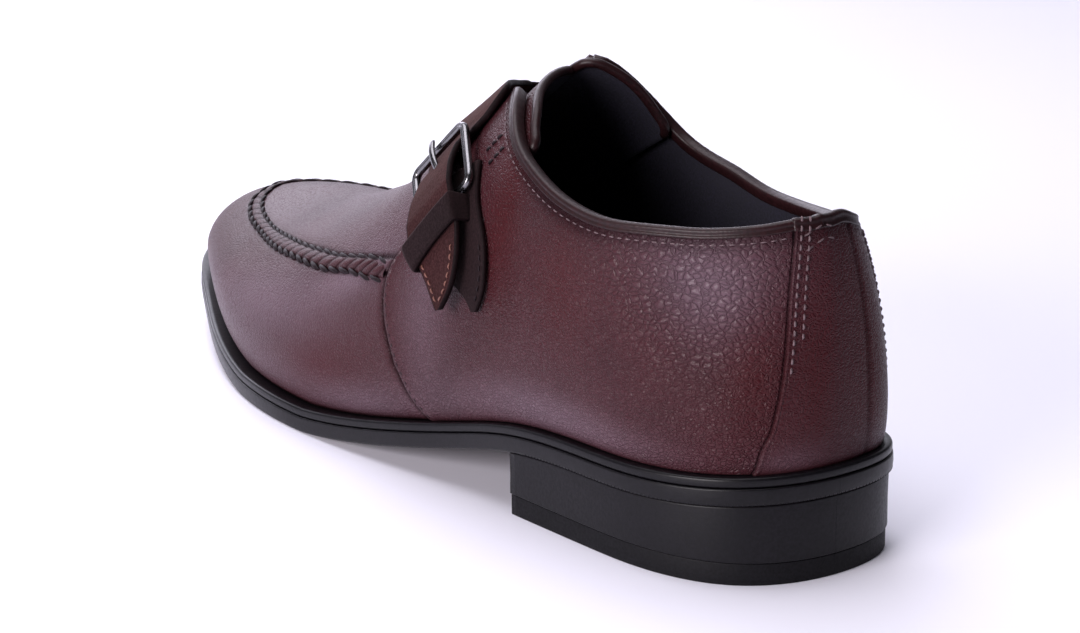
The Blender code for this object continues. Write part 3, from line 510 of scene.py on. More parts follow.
# %% [markdown]
# Every piece is a mesh built from rows of points, so a few small helpers come first.
# One joins a grid of points with faces, and one makes the Blender object, gives it its materials
# and fastens it to the shoe. It also hides the solid that the piece stands for.

# %% Mesh helpers
def grid_faces(start, rows, columns, close_rows=False, close_columns=False, flip=False):
    """Four-sided faces over a grid of points stored row by row."""
    i = np.arange(rows if close_rows else rows - 1)
    j = np.arange(columns if close_columns else columns - 1)
    i, j = np.meshgrid(i, j, indexing="ij")
    k = (i + 1) % rows
    m = (j + 1) % columns
    corners = [i * columns + j, i * columns + m, k * columns + m, k * columns + j]
    faces = np.stack(corners, -1).reshape(-1, 4) + start
    return faces[:, ::-1] if flip else faces


def capped(rings, size, flip=False):
    """Faces of a bar made of rings of points, with a face over each end."""
    faces = grid_faces(0, rings, size, close_columns=True, flip=flip).tolist()
    first = list(range(size))
    end = [(rings - 1) * size + j for j in range(size)]
    return faces + ([first, end[::-1]] if flip else [first[::-1], end])


def make_piece(name, points, faces, looks, node=None, look_of=None, grain_and_painted_light=None):
    """A smooth mesh object that rides on the shoe and may stand for one of its solids."""
    mesh = bpy.data.meshes.new(name)
    mesh.from_pydata(np.asarray(points).tolist(), [], [list(map(int, f)) for f in faces])
    mesh.validate()
    mesh.polygons.foreach_set("use_smooth", [True] * len(mesh.polygons))
    for look in looks:
        mesh.materials.append(look)
    if look_of is not None:
        mesh.polygons.foreach_set("material_index", np.asarray(look_of, int).tolist())
    if grain_and_painted_light is not None:
        layer = mesh.color_attributes.new("grain_and_painted_light", "FLOAT_COLOR", "POINT")
        colours = np.zeros((len(mesh.vertices), 4))
        colours[:, :grain_and_painted_light.shape[1]] = grain_and_painted_light
        layer.data.foreach_set("color", colours.ravel())
    thing = bpy.data.objects.new(name, mesh)
    bpy.context.scene.collection.objects.link(thing)
    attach(thing, "root")
    if node:
        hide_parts(node)
    print(name, len(mesh.vertices), "points")
    return thing


# %% [markdown]
# Thread and the buckle's prong follow paths. A stitch is a short bead laid at even steps along a
# path, with the surface's own direction as up. A bar is a ring of points carried along the path.

# %% Stitches and bars
def along_path(path, normals, pitch):
    """Evenly spaced places on a path, with its direction and the surface's normal there."""
    step = np.linalg.norm(np.diff(path, axis=0), axis=1)
    run = np.concatenate([[0], np.cumsum(step)])
    count = max(int(run[-1] / pitch), 1)
    at = (np.arange(count) + 0.5) * run[-1] / count

    def pick(values, where):
        return np.stack([np.interp(where, run, values[:, k]) for k in range(3)], -1)

    spots = pick(path, at)
    ahead = pick(path, np.minimum(at + pitch * 0.3, run[-1])) - pick(path, np.maximum(at - pitch * 0.3, 0))
    ahead /= np.linalg.norm(ahead, axis=1, keepdims=True)
    up = pick(normals, at)
    up -= ahead * (up * ahead).sum(1, keepdims=True)
    up /= np.linalg.norm(up, axis=1, keepdims=True)
    return spots, ahead, up


def stitch_row(name, paths, look, pitch, length, width, slant=0.0, high=0.5, lift=0.0):
    """Rows of thread: each stitch is a short bead that dips into the leather at its ends."""
    around = 8
    rings = 7
    u = np.linspace(-1, 1, rings)
    size = np.sqrt(np.maximum(1 - u ** 4, 0.02))
    t = np.arange(around) * 2 * math.pi / around
    shape = np.stack([
        np.repeat(u[:, None], around, 1) * length / 2,
        size[:, None] * np.cos(t)[None, :] * width / 2,
        size[:, None] * np.sin(t)[None, :] * width / 2 * 0.9 + (1 - u[:, None] ** 2) * width * high,
    ], -1).reshape(-1, 3)
    points = []
    faces = []
    for path, normals in paths:
        spots, ahead, up = along_path(np.asarray(path), np.asarray(normals), pitch)
        side = np.cross(up, ahead)
        lean = math.radians(slant)
        first = ahead * math.cos(lean) + side * math.sin(lean)
        second = side * math.cos(lean) - ahead * math.sin(lean)
        for spot, long_way, cross_way, out in zip(spots, first, second, up):
            start = len(points) * len(shape)
            points.append(spot + out * lift + shape @ np.stack([long_way, cross_way, out]))
            faces.extend(grid_faces(start, rings, around, close_columns=True).tolist())
            faces.append([start + k for k in range(around)])
            faces.append([start + (rings - 1) * around + k for k in reversed(range(around))])
    return make_piece(name, np.concatenate(points), faces, [look])


def tube(name, path, radius, look, normals, flat, node=None):
    """Slightly flattened bar along a path."""
    around = 14
    ahead = np.gradient(path, axis=0)
    ahead /= np.linalg.norm(ahead, axis=1, keepdims=True)
    up = normals - ahead * (normals * ahead).sum(1, keepdims=True)
    up /= np.linalg.norm(up, axis=1, keepdims=True)
    side = np.cross(ahead, up)
    radius = np.broadcast_to(radius, len(path))
    t = np.arange(around) * 2 * math.pi / around
    ring = (side[:, None] * np.cos(t)[None, :, None] + up[:, None] * np.sin(t)[None, :, None] * flat)
    points = path[:, None] + ring * radius[:, None, None]
    return make_piece(name, points.reshape(-1, 3), capped(len(path), around), [look],
                      node=node)


print("a block of 2 rings of 4 points has", len(capped(2, 4)), "faces")

# %% [markdown]
# Materials are small networks of nodes. One helper makes the shader, one adds a node and links
# or sets its inputs, and three more do sums, blend two colours and turn one range of values
# smoothly into another.

# %% Material helpers
def new_material(name, colour, rough, **more):
    """A Principled material, with its node tree and shader returned for further work."""
    made = bpy.data.materials.new(name)
    made.use_nodes = True
    tree = made.node_tree
    shader = tree.nodes["Principled BSDF"]
    shader.inputs["Base Color"].default_value = (*colour, 1.0)
    shader.inputs["Roughness"].default_value = rough
    for key, value in more.items():
        socket = shader.inputs[key.replace("_", " ").title().replace("Ior", "IOR")]
        socket.default_value = (*value, 1.0) if isinstance(value, tuple) else value
    return made, tree, shader


def node(tree, kind, settings=None, **inputs):
    """A node whose inputs are named, or numbered as i0, i1 and so on, and then linked or set."""
    made = tree.nodes.new("ShaderNode" + kind)
    for key, value in (settings or {}).items():
        setattr(made, key, value)
    for key, value in inputs.items():
        socket = made.inputs[int(key[1:]) if key[0] == "i" and key[1:].isdigit() else key]
        if isinstance(value, bpy.types.NodeSocket):
            tree.links.new(value, socket)
        else:
            socket.default_value = value
    return made


def maths(tree, operation, a, b=0.0):
    return node(tree, "Math", {"operation": operation}, i0=a, i1=b).outputs[0]


def blend_colour(tree, amount, first, second):
    made = node(tree, "Mix", {"data_type": "RGBA"})
    for socket, value in ((made.inputs[0], amount), (made.inputs[6], first), (made.inputs[7], second)):
        if isinstance(value, bpy.types.NodeSocket):
            tree.links.new(value, socket)
        else:
            socket.default_value = (*value, 1.0) if isinstance(value, tuple) else value
    return made.outputs[2]


def ramp(tree, value, low, high, from_value=0.0, to_value=1.0):
    """Maps low..high smoothly to the two given values."""
    made = node(tree, "MapRange", {"interpolation_type": "SMOOTHSTEP"})
    for socket, given in zip(made.inputs[:5], (value, low, high, from_value, to_value)):
        if isinstance(given, bpy.types.NodeSocket):
            tree.links.new(given, socket)
        else:
            socket.default_value = given
    return made.outputs[0]


# %% [markdown]
# The upper is burgundy leather with a pebbled grain, glazed and lightly waxed. The grain is a
# pattern of cells: the lines between them sink in and carry a little painted shade, and each cell
# is a soft pebble. Four numbers are stored at each point of the mesh and read by name: how strong
# the grain is, how red and burnished the leather is, how much painted shade lies there, and how
# much pale painted reflection.

# %% Burgundy leather
def burgundy_leather(name, plain=False):
    """The upper's leather. The plain one reads no stored numbers and is the same all over."""
    made, tree, shader = new_material(name, (0.09, 0.017, 0.021), 0.38, coat_weight=0.06,
                                      coat_roughness=0.20, specular_ior_level=0.18)
    where = node(tree, "TexCoord").outputs["Object"]
    wobble = node(tree, "TexNoise", Vector=where, Scale=420.0, Detail=2.0).outputs["Color"]
    shift = node(tree, "VectorMath", {"operation": "SCALE"}, i0=wobble, Scale=0.0020).outputs[0]
    place = node(tree, "VectorMath", {"operation": "ADD"}, i0=where, i1=shift).outputs[0]
    grain, red, dark, painted_reflection = 0.40, 0.30, 0.30, 0.0
    if not plain:
        grain_and_painted_light = node(tree, "Attribute", {"attribute_name": "grain_and_painted_light"})
        parts = node(tree, "SeparateColor", Color=grain_and_painted_light.outputs["Color"])
        grain, red, dark = parts.outputs[0], parts.outputs[1], parts.outputs[2]
        painted_reflection = maths(tree, "MULTIPLY", grain_and_painted_light.outputs["Alpha"], 0.66)
    flat = node(tree, "VectorMath", {"operation": "MULTIPLY"}, i0=place, i1=(1.0, 1.0, 1.5)).outputs[0]
    cells = node(tree, "TexVoronoi", {"feature": "DISTANCE_TO_EDGE"}, Vector=flat, Scale=500.0)
    small = node(tree, "TexVoronoi", {"feature": "DISTANCE_TO_EDGE"}, Vector=flat, Scale=860.0)
    thin = ramp(tree, cells.outputs["Distance"], 0.0, 0.13)
    round_top = ramp(tree, cells.outputs["Distance"], 0.0, 0.42)
    pebble = maths(tree, "ADD", maths(tree, "MULTIPLY", thin, 0.5),
                   maths(tree, "MULTIPLY", round_top, 0.5))
    fine = ramp(tree, small.outputs["Distance"], 0.0, 0.24)
    big = ramp(tree, grain, 0.60, 0.92)
    surface = node(tree, "Mix", {"data_type": "FLOAT"}, i0=big, i2=fine, i3=pebble).outputs[0]
    pores = node(tree, "TexNoise", Vector=where, Scale=3200.0, Detail=3.0).outputs[0]
    cloud = node(tree, "TexNoise", Vector=where, Scale=38.0, Detail=3.0).outputs[0]
    # Colour: painted shade in the creases, redder in the red patches, pale mauve where a reflection is
    # painted.
    mauve = blend_colour(tree, ramp(tree, cloud, 0.35, 0.7),
                         (0.047, 0.0118, 0.0158), (0.036, 0.0086, 0.0120))
    base = blend_colour(tree, red, mauve, (0.050, 0.0070, 0.0086))
    # Painted reflection: the colour turns pale mauve where one is laid on.
    if not plain:
        base = blend_colour(tree, painted_reflection, base, (0.160, 0.108, 0.138))
    # Painted shade: the colour turns near black where the shade number is high.
    base = blend_colour(tree, dark, base, (0.008, 0.004, 0.005))
    # Painted shade in the grain's creases.
    crease = maths(tree, "MULTIPLY", ramp(tree, surface, 0.0, 0.5, 1.0, 0.0), grain)
    base = blend_colour(tree, maths(tree, "MULTIPLY", crease, 0.30), base, (0.012, 0.003, 0.004))
    tree.links.new(base, shader.inputs["Base Color"])
    rough = maths(tree, "ADD", ramp(tree, surface, 0.0, 0.6, 0.50, 0.33),
                  maths(tree, "MULTIPLY", pores, 0.08))
    tree.links.new(rough, shader.inputs["Roughness"])
    height = maths(tree, "MULTIPLY", surface, grain)
    height = maths(tree, "ADD", height, maths(tree, "MULTIPLY", pores, 0.05))
    bump = node(tree, "Bump", Height=height, Strength=0.75, Distance=0.00055)
    tree.links.new(bump.outputs[0], shader.inputs["Normal"])
    tree.links.new(bump.outputs[0], shader.inputs["Coat Normal"])
    if not plain:
        dull = maths(tree, "ADD", dark, maths(tree, "MULTIPLY", red, 0.55))
        tree.links.new(ramp(tree, dull, 0.1, 0.9, 0.06, 0.0), shader.inputs["Coat Weight"])
        tree.links.new(ramp(tree, dull, 0.1, 0.9, 0.15, 0.04), shader.inputs["Specular IOR Level"])
    return made


BURGUNDY = burgundy_leather("burgundy_grain")
BURGUNDY_PLAIN = burgundy_leather("burgundy_plain", plain=True)
print("burgundy leather ready")

# %% [markdown]
# The other finishes are simpler. Waxed edges are black with a soft shine, suede is a dark
# brown nap that scatters light, thread is spun, and the buckle is brushed gunmetal.

# %% Edges, suede, thread and metal
def grained(name, colour, rough, scale, depth, shade=0.35, **more):
    """A material with a noise that varies its colour, its shine and its surface."""
    made, tree, shader = new_material(name, colour, rough, **more)
    where = node(tree, "TexCoord").outputs["Object"]
    speck = node(tree, "TexNoise", Vector=where, Scale=scale, Detail=4.0).outputs[0]
    patches = node(tree, "TexNoise", Vector=where, Scale=60.0, Detail=3.0).outputs[0]
    darker = tuple(c * (1 - shade) for c in colour)
    lighter = tuple(min(c * (1 + shade), 1.0) for c in colour)
    tone = blend_colour(tree, ramp(tree, speck, 0.3, 0.7), darker, lighter)
    tone = blend_colour(tree, ramp(tree, patches, 0.35, 0.7, 0.0, 0.5), tone, darker)
    tree.links.new(tone, shader.inputs["Base Color"])
    tree.links.new(ramp(tree, speck, 0.2, 0.8, rough * 1.15, rough * 0.85), shader.inputs["Roughness"])
    bump = node(tree, "Bump", Height=speck, Strength=0.6, Distance=depth)
    tree.links.new(bump.outputs[0], shader.inputs["Normal"])
    return made


STRAP_TAB = grained("dark_suede", (0.008, 0.0028, 0.0036), 0.82, 1700.0, 0.0002, shade=0.4,
                    specular_ior_level=0.12, sheen_weight=0.08, sheen_roughness=0.5,
                    sheen_tint=(0.6, 0.4, 0.4))
EDGE_BLACK = grained("black_waxed_edge", (0.0042, 0.0036, 0.0050), 0.34, 900.0, 0.00006,
                     specular_ior_level=0.20, coat_weight=0.04, coat_roughness=0.25)
HEEL_BLACK = grained("black_heel_leather", (0.0042, 0.0036, 0.0052), 0.40, 1200.0, 0.00008,
                     specular_ior_level=0.20)
RUBBER = grained("black_rubber_lift", (0.0038, 0.0034, 0.0048), 0.55, 1500.0, 0.00008,
                 specular_ior_level=0.16)
SOLE_BROWN = grained("sole_underside_leather", (0.050, 0.018, 0.014), 0.42, 700.0, 0.00010)
LINING = grained("black_lining", (0.012, 0.0105, 0.020), 0.72, 1400.0, 0.00012)
INSOLE_LOOK = grained("insole_leather", (0.0085, 0.0075, 0.009), 0.6, 900.0, 0.00010)
BINDING_LOOK = grained("brown_binding", (0.017, 0.0052, 0.0062), 0.40, 1100.0, 0.00008,
                       specular_ior_level=0.22, coat_weight=0.04, coat_roughness=0.3)
SUEDE = grained("brown_suede", (0.025, 0.0068, 0.0074), 0.88, 1700.0, 0.00022, shade=0.45,
                specular_ior_level=0.10, sheen_weight=0.10, sheen_roughness=0.5,
                sheen_tint=(0.75, 0.45, 0.40))
STRAP_EDGE = grained("dark_strap_edge", (0.007, 0.0028, 0.0034), 0.6, 1500.0, 0.00006,
                     specular_ior_level=0.08)
DARK_THREAD = grained("dark_thread", (0.011, 0.0055, 0.0075), 0.5, 2500.0, 0.00010,
                      specular_ior_level=0.15)
LIGHT_THREAD = grained("light_thread", (0.125, 0.082, 0.090), 0.5, 2500.0, 0.00010,
                       specular_ior_level=0.3)
TAN_THREAD = grained("tan_thread", (0.16, 0.060, 0.042), 0.6, 2500.0, 0.00010)
METAL = grained("brushed_gunmetal", (0.19, 0.185, 0.195), 0.24, 1600.0, 0.00001,
                shade=0.10, metallic=1.0)
print(len(bpy.data.materials), "materials")

# %% [markdown]
# The upper is one skin of leather over the last: the vamp in front, a quarter on each side and
# a patch at the heel. It is made as a fine grid. Its columns run from the sole to the top edge
# and bend to follow the seams, so that a seam is a crisp step between two columns. Its rows
# follow the apron's raised band round the toe.

# %% Grid of the upper
def packed(centre_at, reach, step):
    """Extra grid lines on both sides of a seam."""
    return list(np.arange(centre_at - reach, centre_at + reach + step / 2, step))


def column_list():
    """Angles of the grid's columns, close together along the seams."""
    lateral = list(np.arange(0.0, 180.0, 1.15)) + packed(PATCH_LATERAL, 1.2, 0.15)
    lateral += packed(QUARTER_AT, 1.5, 0.15) + packed(73.0, 1.5, 0.25) + [SLOT_END]
    medial = list(np.arange(0.6, 180.0, 1.15)) + packed(-PATCH_MEDIAL, 1.2, 0.15)
    medial += packed(QUARTER_AT, 1.5, 0.15) + packed(73.2, 1.5, 0.25) + [SLOT_END]
    # In front of the slot both sides share their columns, so that they meet on the ridge.
    front = list(np.arange(SLOT_END, 180.0, 0.85))
    lateral = sorted(set(round(a, 3) for a in lateral if 0 < a < SLOT_END))
    medial = sorted(set(round(a, 3) for a in medial if 0 < a < SLOT_END))

    def thin(values):
        kept = [values[0]]
        for value in values[1:]:
            if value - kept[-1] > 0.09:
                kept.append(value)
        return kept

    lateral, medial = thin(lateral), thin(medial)
    front = [round(a, 3) for a in front]
    ring = [0.0] + lateral + front + [180.0]
    return ring + [360.0 - a for a in reversed(front)] + [360.0 - a for a in reversed(medial)]


def row_list():
    """Rows of the grid, close together along the apron's edges."""
    rows = list(np.arange(0, 1.0, 0.0125)) + packed(LOW_ROW, 0.02, 0.0025)
    rows += packed(HIGH_ROW, 0.02, 0.0025) + list(np.arange(LOW_ROW, HIGH_ROW, 0.005))
    rows = sorted(set(round(r, 4) for r in rows if 0 <= r < 0.996))
    kept = [0.0]
    for row in rows:
        if row - kept[-1] > 0.0019:
            kept.append(row)
    return np.array(kept + [1.0])


COLUMNS = column_list()
ROWS = row_list()
print(len(COLUMNS), "columns by", len(ROWS), "rows")

# %% [markdown]
# A seam is not just a line. The upper layer ends in a rounded, slightly raised edge, the thread
# pulls a shallow groove beside it, and the layer under it starts a step lower. These heights are
# written as one function, so the leather, the thread and the painted shade all agree on where they are.

# %% Relief of the seams
def step_at(value, at, wide):
    t = np.clip((value - at) / wide + 0.5, 0, 1)
    return t * t * (3 - 2 * t)


def bell(value, at, wide):
    return np.exp(-((value - at) / wide) ** 2)


def blob(angle, share, at, wide_angle, wide_share):
    """Soft round patch on the surface, with the lateral side's angles positive."""
    turn = signed(angle)
    return np.exp(-((turn - at[0]) / wide_angle) ** 2 - ((share - at[1]) / wide_share) ** 2)


def band_run():
    """Length along the apron band by column angle, for its pleats."""
    turn = np.linspace(79, 281, 405)
    folded = fold(turn)[0]
    middle = (spline(APRON["angle"], APRON["lower"], folded)
              + spline(APRON["angle"], APRON["upper"], folded)) / 2
    line = last(turn, middle)
    run = np.concatenate([[0], np.cumsum(np.linalg.norm(np.diff(line, axis=0), axis=1))])
    return turn, run


BAND_TURN, BAND_RUN = band_run()
PLEAT = 0.0062


def relief(column, row, angle, share):
    """Height of the outside over the last, in mm."""
    turn = signed(column)
    away = np.abs(turn)
    quarter = 1 - step_at(away, QUARTER_AT, 0.35)
    lift = VAMP_OFF + 0.25 + (QUARTER_OFF - VAMP_OFF - 0.25) * quarter
    # Rolled edge of the quarter, the groove of its seam and a soft ridge in front of it.
    near = np.clip((1 - share) * 8, 0, 1)
    lift += 0.30 * bell(away, QUARTER_AT - 0.55, 0.42) * near
    lift -= 0.60 * bell(away, QUARTER_AT + 0.28, 0.30) * near
    lift += 0.28 * bell(away, QUARTER_AT + 1.35, 0.55) * near * bell(share, 0.2, 0.22)
    # Heel patch: a thin layer over both quarters.
    patch = step_at(turn, PATCH_MEDIAL, 0.3) * (1 - step_at(turn, PATCH_LATERAL, 0.3))
    lift += (PATCH_OFF - QUARTER_OFF) * patch
    for edge, into in ((PATCH_LATERAL, -1), (PATCH_MEDIAL, 1)):
        lift += 0.18 * bell(turn, edge + into * 0.5, 0.35)
        lift -= 0.22 * bell(turn, edge - into * 0.25, 0.2)
        for inset in (0.75, 1.85):
            lift -= 0.13 * bell(turn, edge + into * inset, 0.22) * (share > 0.2)
    # Thin seam down the back.
    lift -= 0.30 * bell(turn, -7.5, 0.16)
    lift += 0.08 * bell(turn, -6.9, 0.35) + 0.08 * bell(turn, -8.1, 0.35)
    # Apron band round the toe: round, pleated, with a groove along each side.
    front = step_at(away, QUARTER_AT + 0.5, 0.6)
    across = (row - LOW_ROW) / (HIGH_ROW - LOW_ROW)
    hump = np.clip(1 - (2 * across - 1) ** 2, 0, 1) ** 0.6
    lift += front * hump * (BAND_UP - 0.40)
    lift -= front * 0.50 * (bell(across, -0.06, 0.13) + 0.8 * bell(across, 1.06, 0.13))
    # Soft hand-made unevenness: a shallow dent on the quarter, a fuller heel, bend lines.
    lift -= 0.9 * blob(angle, share, (30, 0.36), 11, 0.10)
    lift += 0.5 * blob(angle, share, (22, 0.44), 10, 0.07)
    lift -= 0.5 * blob(angle, share, (58, 0.30), 9, 0.12)
    lift -= 0.35 * blob(angle, share, (-45, 0.30), 12, 0.12)
    for at, tilt, deep in ((84.5, 20, 0.30), (88.0, 24, 0.24), (92.5, 26, 0.16)):
        bend = away + tilt * (share - 0.8) * 0.15
        lift -= deep * bell(bend, at, 0.9) * np.clip((share - 0.50) * 4, 0, 1) * front
    return lift


print("pleats", round(PLEAT / MM, 1), "mm apart")

# %% [markdown]
# The numbers of grain and painted light follow from the same coordinates: grain is strongest on
# the rear of the quarters, fades to smooth leather at the toe and on the apron, and is pressed flat
# along the seams. Painted shade lies in the grooves, at the foot of the upper and under its top
# edge, and the red patches sit where the leather shows no reflection.

# %% Grain and painted light of the leather
def leather_grain_and_painted_light(column, row, angle, share):
    """Grain, redness, painted shade and painted reflection at each point, all from 0 to 1."""
    turn = signed(column)
    away = np.abs(turn)
    vamp = step_at(away, QUARTER_AT, 0.4)
    across = (row - LOW_ROW) / (HIGH_ROW - LOW_ROW)
    grain = 0.64 + 0.34 * blob(angle, share, (30, 0.45), 24, 0.17)
    grain = grain - 0.10 * vamp
    toe = step_at(away, 118, 56)
    grain = grain * (1 - 0.80 * toe)
    apron = vamp * step_at(across, 1.4, 1.0)
    grain = grain * (1 - apron * (0.30 + 0.5 * step_at(away, 96, 26)))
    patch = step_at(turn, PATCH_MEDIAL, 0.6) * (1 - step_at(turn, PATCH_LATERAL, 0.6))
    grain = grain * (1 - 0.55 * patch)
    grain = grain * (0.35 + 0.65 * step_at(share, 0.06, 0.10))
    band = vamp * bell(across, 0.5, 0.75)
    grain = grain * (1 - 0.5 * band)
    # Redder patches: a burnished tone with less shine, laid where the leather shows no reflection; the one
    # at -10 behind the heel stands in for shade.
    red = 0.95 * blob(angle, share, (92, 0.20), 9, 0.085)
    red += 0.85 * blob(angle, share, (62.5, 0.40), 3.2, 0.16)
    red += 0.55 * blob(angle, share, (52, 0.33), 5, 0.10)
    red += 0.70 * blob(angle, share, (16, 0.33), 7, 0.13)
    red += 0.65 * blob(angle, share, (4, 0.28), 4.5, 0.14)
    red += 0.35 * blob(angle, share, (38, 0.14), 22, 0.06)
    red += 0.25 * blob(angle, share, (104, 0.10), 14, 0.07)
    red += 0.6 * blob(angle, share, (-60, 0.3), 14, 0.14)
    red += 0.6 * blob(angle, share, (-95, 0.22), 12, 0.1)
    red += 0.9 * blob(angle, share, (-10, 0.3), 8, 0.2)
    # Painted shade in the seams' grooves, at the foot of the upper against the welt, and just under the top
    # edge.
    near = np.clip((1 - share) * 8, 0, 1)
    dark = 1.1 * bell(away, QUARTER_AT + 0.25, 0.42) * near
    dark += 0.8 * vamp * (bell(across, -0.06, 0.16) + bell(across, 1.06, 0.16))
    dark += 0.7 * bell(turn, PATCH_LATERAL + 0.25, 0.3)
    dark += 0.7 * bell(turn, PATCH_MEDIAL - 0.25, 0.3)
    dark += 0.35 * bell(turn, -7.5, 0.25)
    dark += 0.85 * (1 - step_at(share, 0.012, 0.03))
    edge = top_share(angle)
    dark += 0.45 * step_at(share, edge - 0.022, 0.03) * (away < 74)
    dark += 0.35 * blob(angle, share, (54, 0.44), 8, 0.05)
    # Painted reflection: a pale mauve where the leather shines.
    painted_reflection = 0.85 * blob(angle, share, (104, 0.36), 15, 0.11) * vamp
    painted_reflection += 0.50 * blob(angle, share, (128, 0.22), 18, 0.13)
    painted_reflection += 0.45 * blob(angle, share, (106, 0.14), 14, 0.08)
    painted_reflection += 0.85 * blob(angle, share, (54, 0.12), 20, 0.075)
    painted_reflection += 0.60 * blob(angle, share, (86, 0.09), 9, 0.07)
    painted_reflection += 0.75 * blob(angle, share, (88, 0.41), 6, 0.05) * vamp
    painted_reflection += 0.55 * blob(angle, share, (74.5, 0.30), 3.6, 0.12) * (1 - vamp)
    painted_reflection += 0.80 * blob(angle, share, (25, 0.46), 13, 0.075)
    painted_reflection += 0.30 * blob(angle, share, (9, 0.10), 6, 0.06)
    painted_reflection += 0.35 * blob(angle, share, (-24, 0.12), 14, 0.07)
    painted_reflection += 0.45 * blob(angle, share, (-60, 0.09), 24, 0.06)
    painted_reflection += 0.5 * blob(angle, share, (-108, 0.34), 18, 0.12)
    painted_reflection += 0.25 * apron
    return np.stack([np.clip(v, 0, 1) for v in (grain, red, dark, painted_reflection)], -1)


for spot_name, spot_angle in (("rear quarter", 30.0), ("toe", 170.0)):
    found = leather_grain_and_painted_light(spot_angle, 0.4, spot_angle, 0.4)
    print(spot_name, "grain, red, dark and bloom:", found.round(2).tolist())

# %% [markdown]
# Now the skin itself. Each column is a closed loop: up the outside from the sole to the top
# edge, over it, and down the inside, which is the black lining. Over the front of the foot the
# two sides meet on the ridge and share their points, so the vamp is closed there.

# %% Upper leather
def make_upper():
    """Outside, top rim, lining and lower rim of the upper as one closed skin."""
    columns = np.array(COLUMNS)
    closed = np.minimum(columns, 360 - columns) > SLOT_END - 0.02
    inner_rows = np.concatenate([[1.0], np.linspace(0.985, 0.0, 34)])
    column, row = np.meshgrid(columns, ROWS, indexing="ij")
    angle = column.copy()
    for _ in range(5):
        share = row_share(angle, row)
        angle = column + seam_shift(column, share)
    share = row_share(angle, row)
    share[closed, -1] = 1.0
    outside = skin(angle, share, relief(column, row, angle, share))
    foot = sole_low(outside[:, 0, 1]) + OUTSOLE + WELT + 0.0002
    outside[:, 0, 2] = foot
    grain_and_painted_light = leather_grain_and_painted_light(column, row, angle, share)
    in_column, in_row = np.meshgrid(columns, inner_rows, indexing="ij")
    in_angle = in_column.copy()
    for _ in range(5):
        in_share = row_share(in_angle, in_row)
        in_angle = in_column + seam_shift(in_column, in_share)
    in_share = row_share(in_angle, in_row)
    in_share[closed, 0] = 1.0
    inside = skin(in_angle, in_share, np.full(in_share.shape, INNER_OFF))
    inside[:, -1, 2] = foot
    count, high, low = len(columns), len(ROWS), len(inner_rows)
    points = np.concatenate([outside.reshape(-1, 3), inside.reshape(-1, 3)])
    shades = np.concatenate([grain_and_painted_light.reshape(-1, 4), np.zeros((count * low, 4))])
    outer = np.arange(count * high).reshape(count, high)
    inner = count * high + np.arange(count * low).reshape(count, low)
    # Columns of the medial front borrow their ridge points from the lateral side.
    for i in np.nonzero(closed)[0]:
        if columns[i] > 180:
            twin = int(np.argmin(np.abs(columns - (360 - columns[i]))))
            outer[i, -1] = outer[twin, -1]
            inner[i, 0] = inner[twin, 0]
    nxt = np.roll(np.arange(count), -1)
    leather = np.stack([outer[:, :-1], outer[nxt, :-1], outer[nxt, 1:], outer[:, 1:]], -1).reshape(-1, 4)
    lining = np.stack([inner[:, :-1], inner[nxt, :-1], inner[nxt, 1:], inner[:, 1:]], -1).reshape(-1, 4)
    foot_rim = np.stack([inner[:, -1], inner[nxt, -1], outer[nxt, 0], outer[:, 0]], -1)
    open_top = ~(closed & closed[nxt])
    rim = np.stack([outer[:, -1], outer[nxt, -1], inner[nxt, 0], inner[:, 0]], -1)[open_top]
    faces = np.concatenate([leather, rim, foot_rim, lining])
    look_of = np.concatenate([np.zeros(len(leather) + len(rim), int),
                              np.ones(len(foot_rim) + len(lining), int)])
    # A face on the ridge that has lost a corner becomes a triangle.
    clean = [[p for k, p in enumerate(face) if p != face[k - 1]] for face in faces.tolist()]
    return make_piece("upper_leather", points, clean, [BURGUNDY, LINING], node="upper",
                      look_of=look_of, grain_and_painted_light=shades)


make_upper()

# %% [markdown]
# The band of the apron is sewn by hand. Each stitch of cord pulls it down, so it is a chain of
# small slanted pleats. They are too fine for the upper's grid, so the band is a strip of its
# own, laid over the raised line that the upper has there.

# %% Apron band
def make_band():
    """Pleated strip over the raised line round the toe."""
    turn = np.linspace(QUARTER_AT + 0.75, 360 - QUARTER_AT - 0.75, 1500)
    across = np.linspace(-0.03, 1.03, 13)
    turn, across = np.meshgrid(turn, across, indexing="ij")
    folded = fold(turn)[0]
    low = spline(APRON["angle"], APRON["lower"], folded)
    high = spline(APRON["angle"], APRON["upper"], folded)
    share = low + (high - low) * across
    run = np.interp(turn, BAND_TURN, BAND_RUN)
    side = np.where(turn > 180, -1.0, 1.0) * np.clip(np.abs(turn - 180) / 8, 0, 1)
    pleat = np.abs(np.sin(math.pi * (run / PLEAT + across * 0.75 * side))) ** 0.7
    hump = np.clip(1 - (2 * across - 1) ** 2, 0, 1) ** 0.45
    lift = VAMP_OFF + 0.02 + hump * (BAND_UP - 0.12 + 0.34 * pleat)
    points = skin(turn + seam_shift(turn, share), share, lift)
    low_grain = np.full(turn.shape, 0.10)
    red = np.full(turn.shape, 0.05)
    # Painted shade between the pleats and along the band's edges.
    dark = np.clip(0.75 * (1 - pleat) + 0.55 * (1 - hump), 0, 1)
    grain_and_painted_light = np.stack([low_grain, red, dark], -1).reshape(-1, 3)
    faces = grid_faces(0, *turn.shape, flip=True)
    return make_piece("apron_band", points.reshape(-1, 3), faces, [BURGUNDY],
                      grain_and_painted_light=grain_and_painted_light)


make_band()

# %% [markdown]
# The sole is leather: a thin outsole, a welt on top of it, and a heel of stacked leather with a
# rubber lift. Seen from the side their edges are all blacked and waxed, so only fine lines tell
# them apart. Each is made from slices across the foot, heel to toe, with rounded edges.

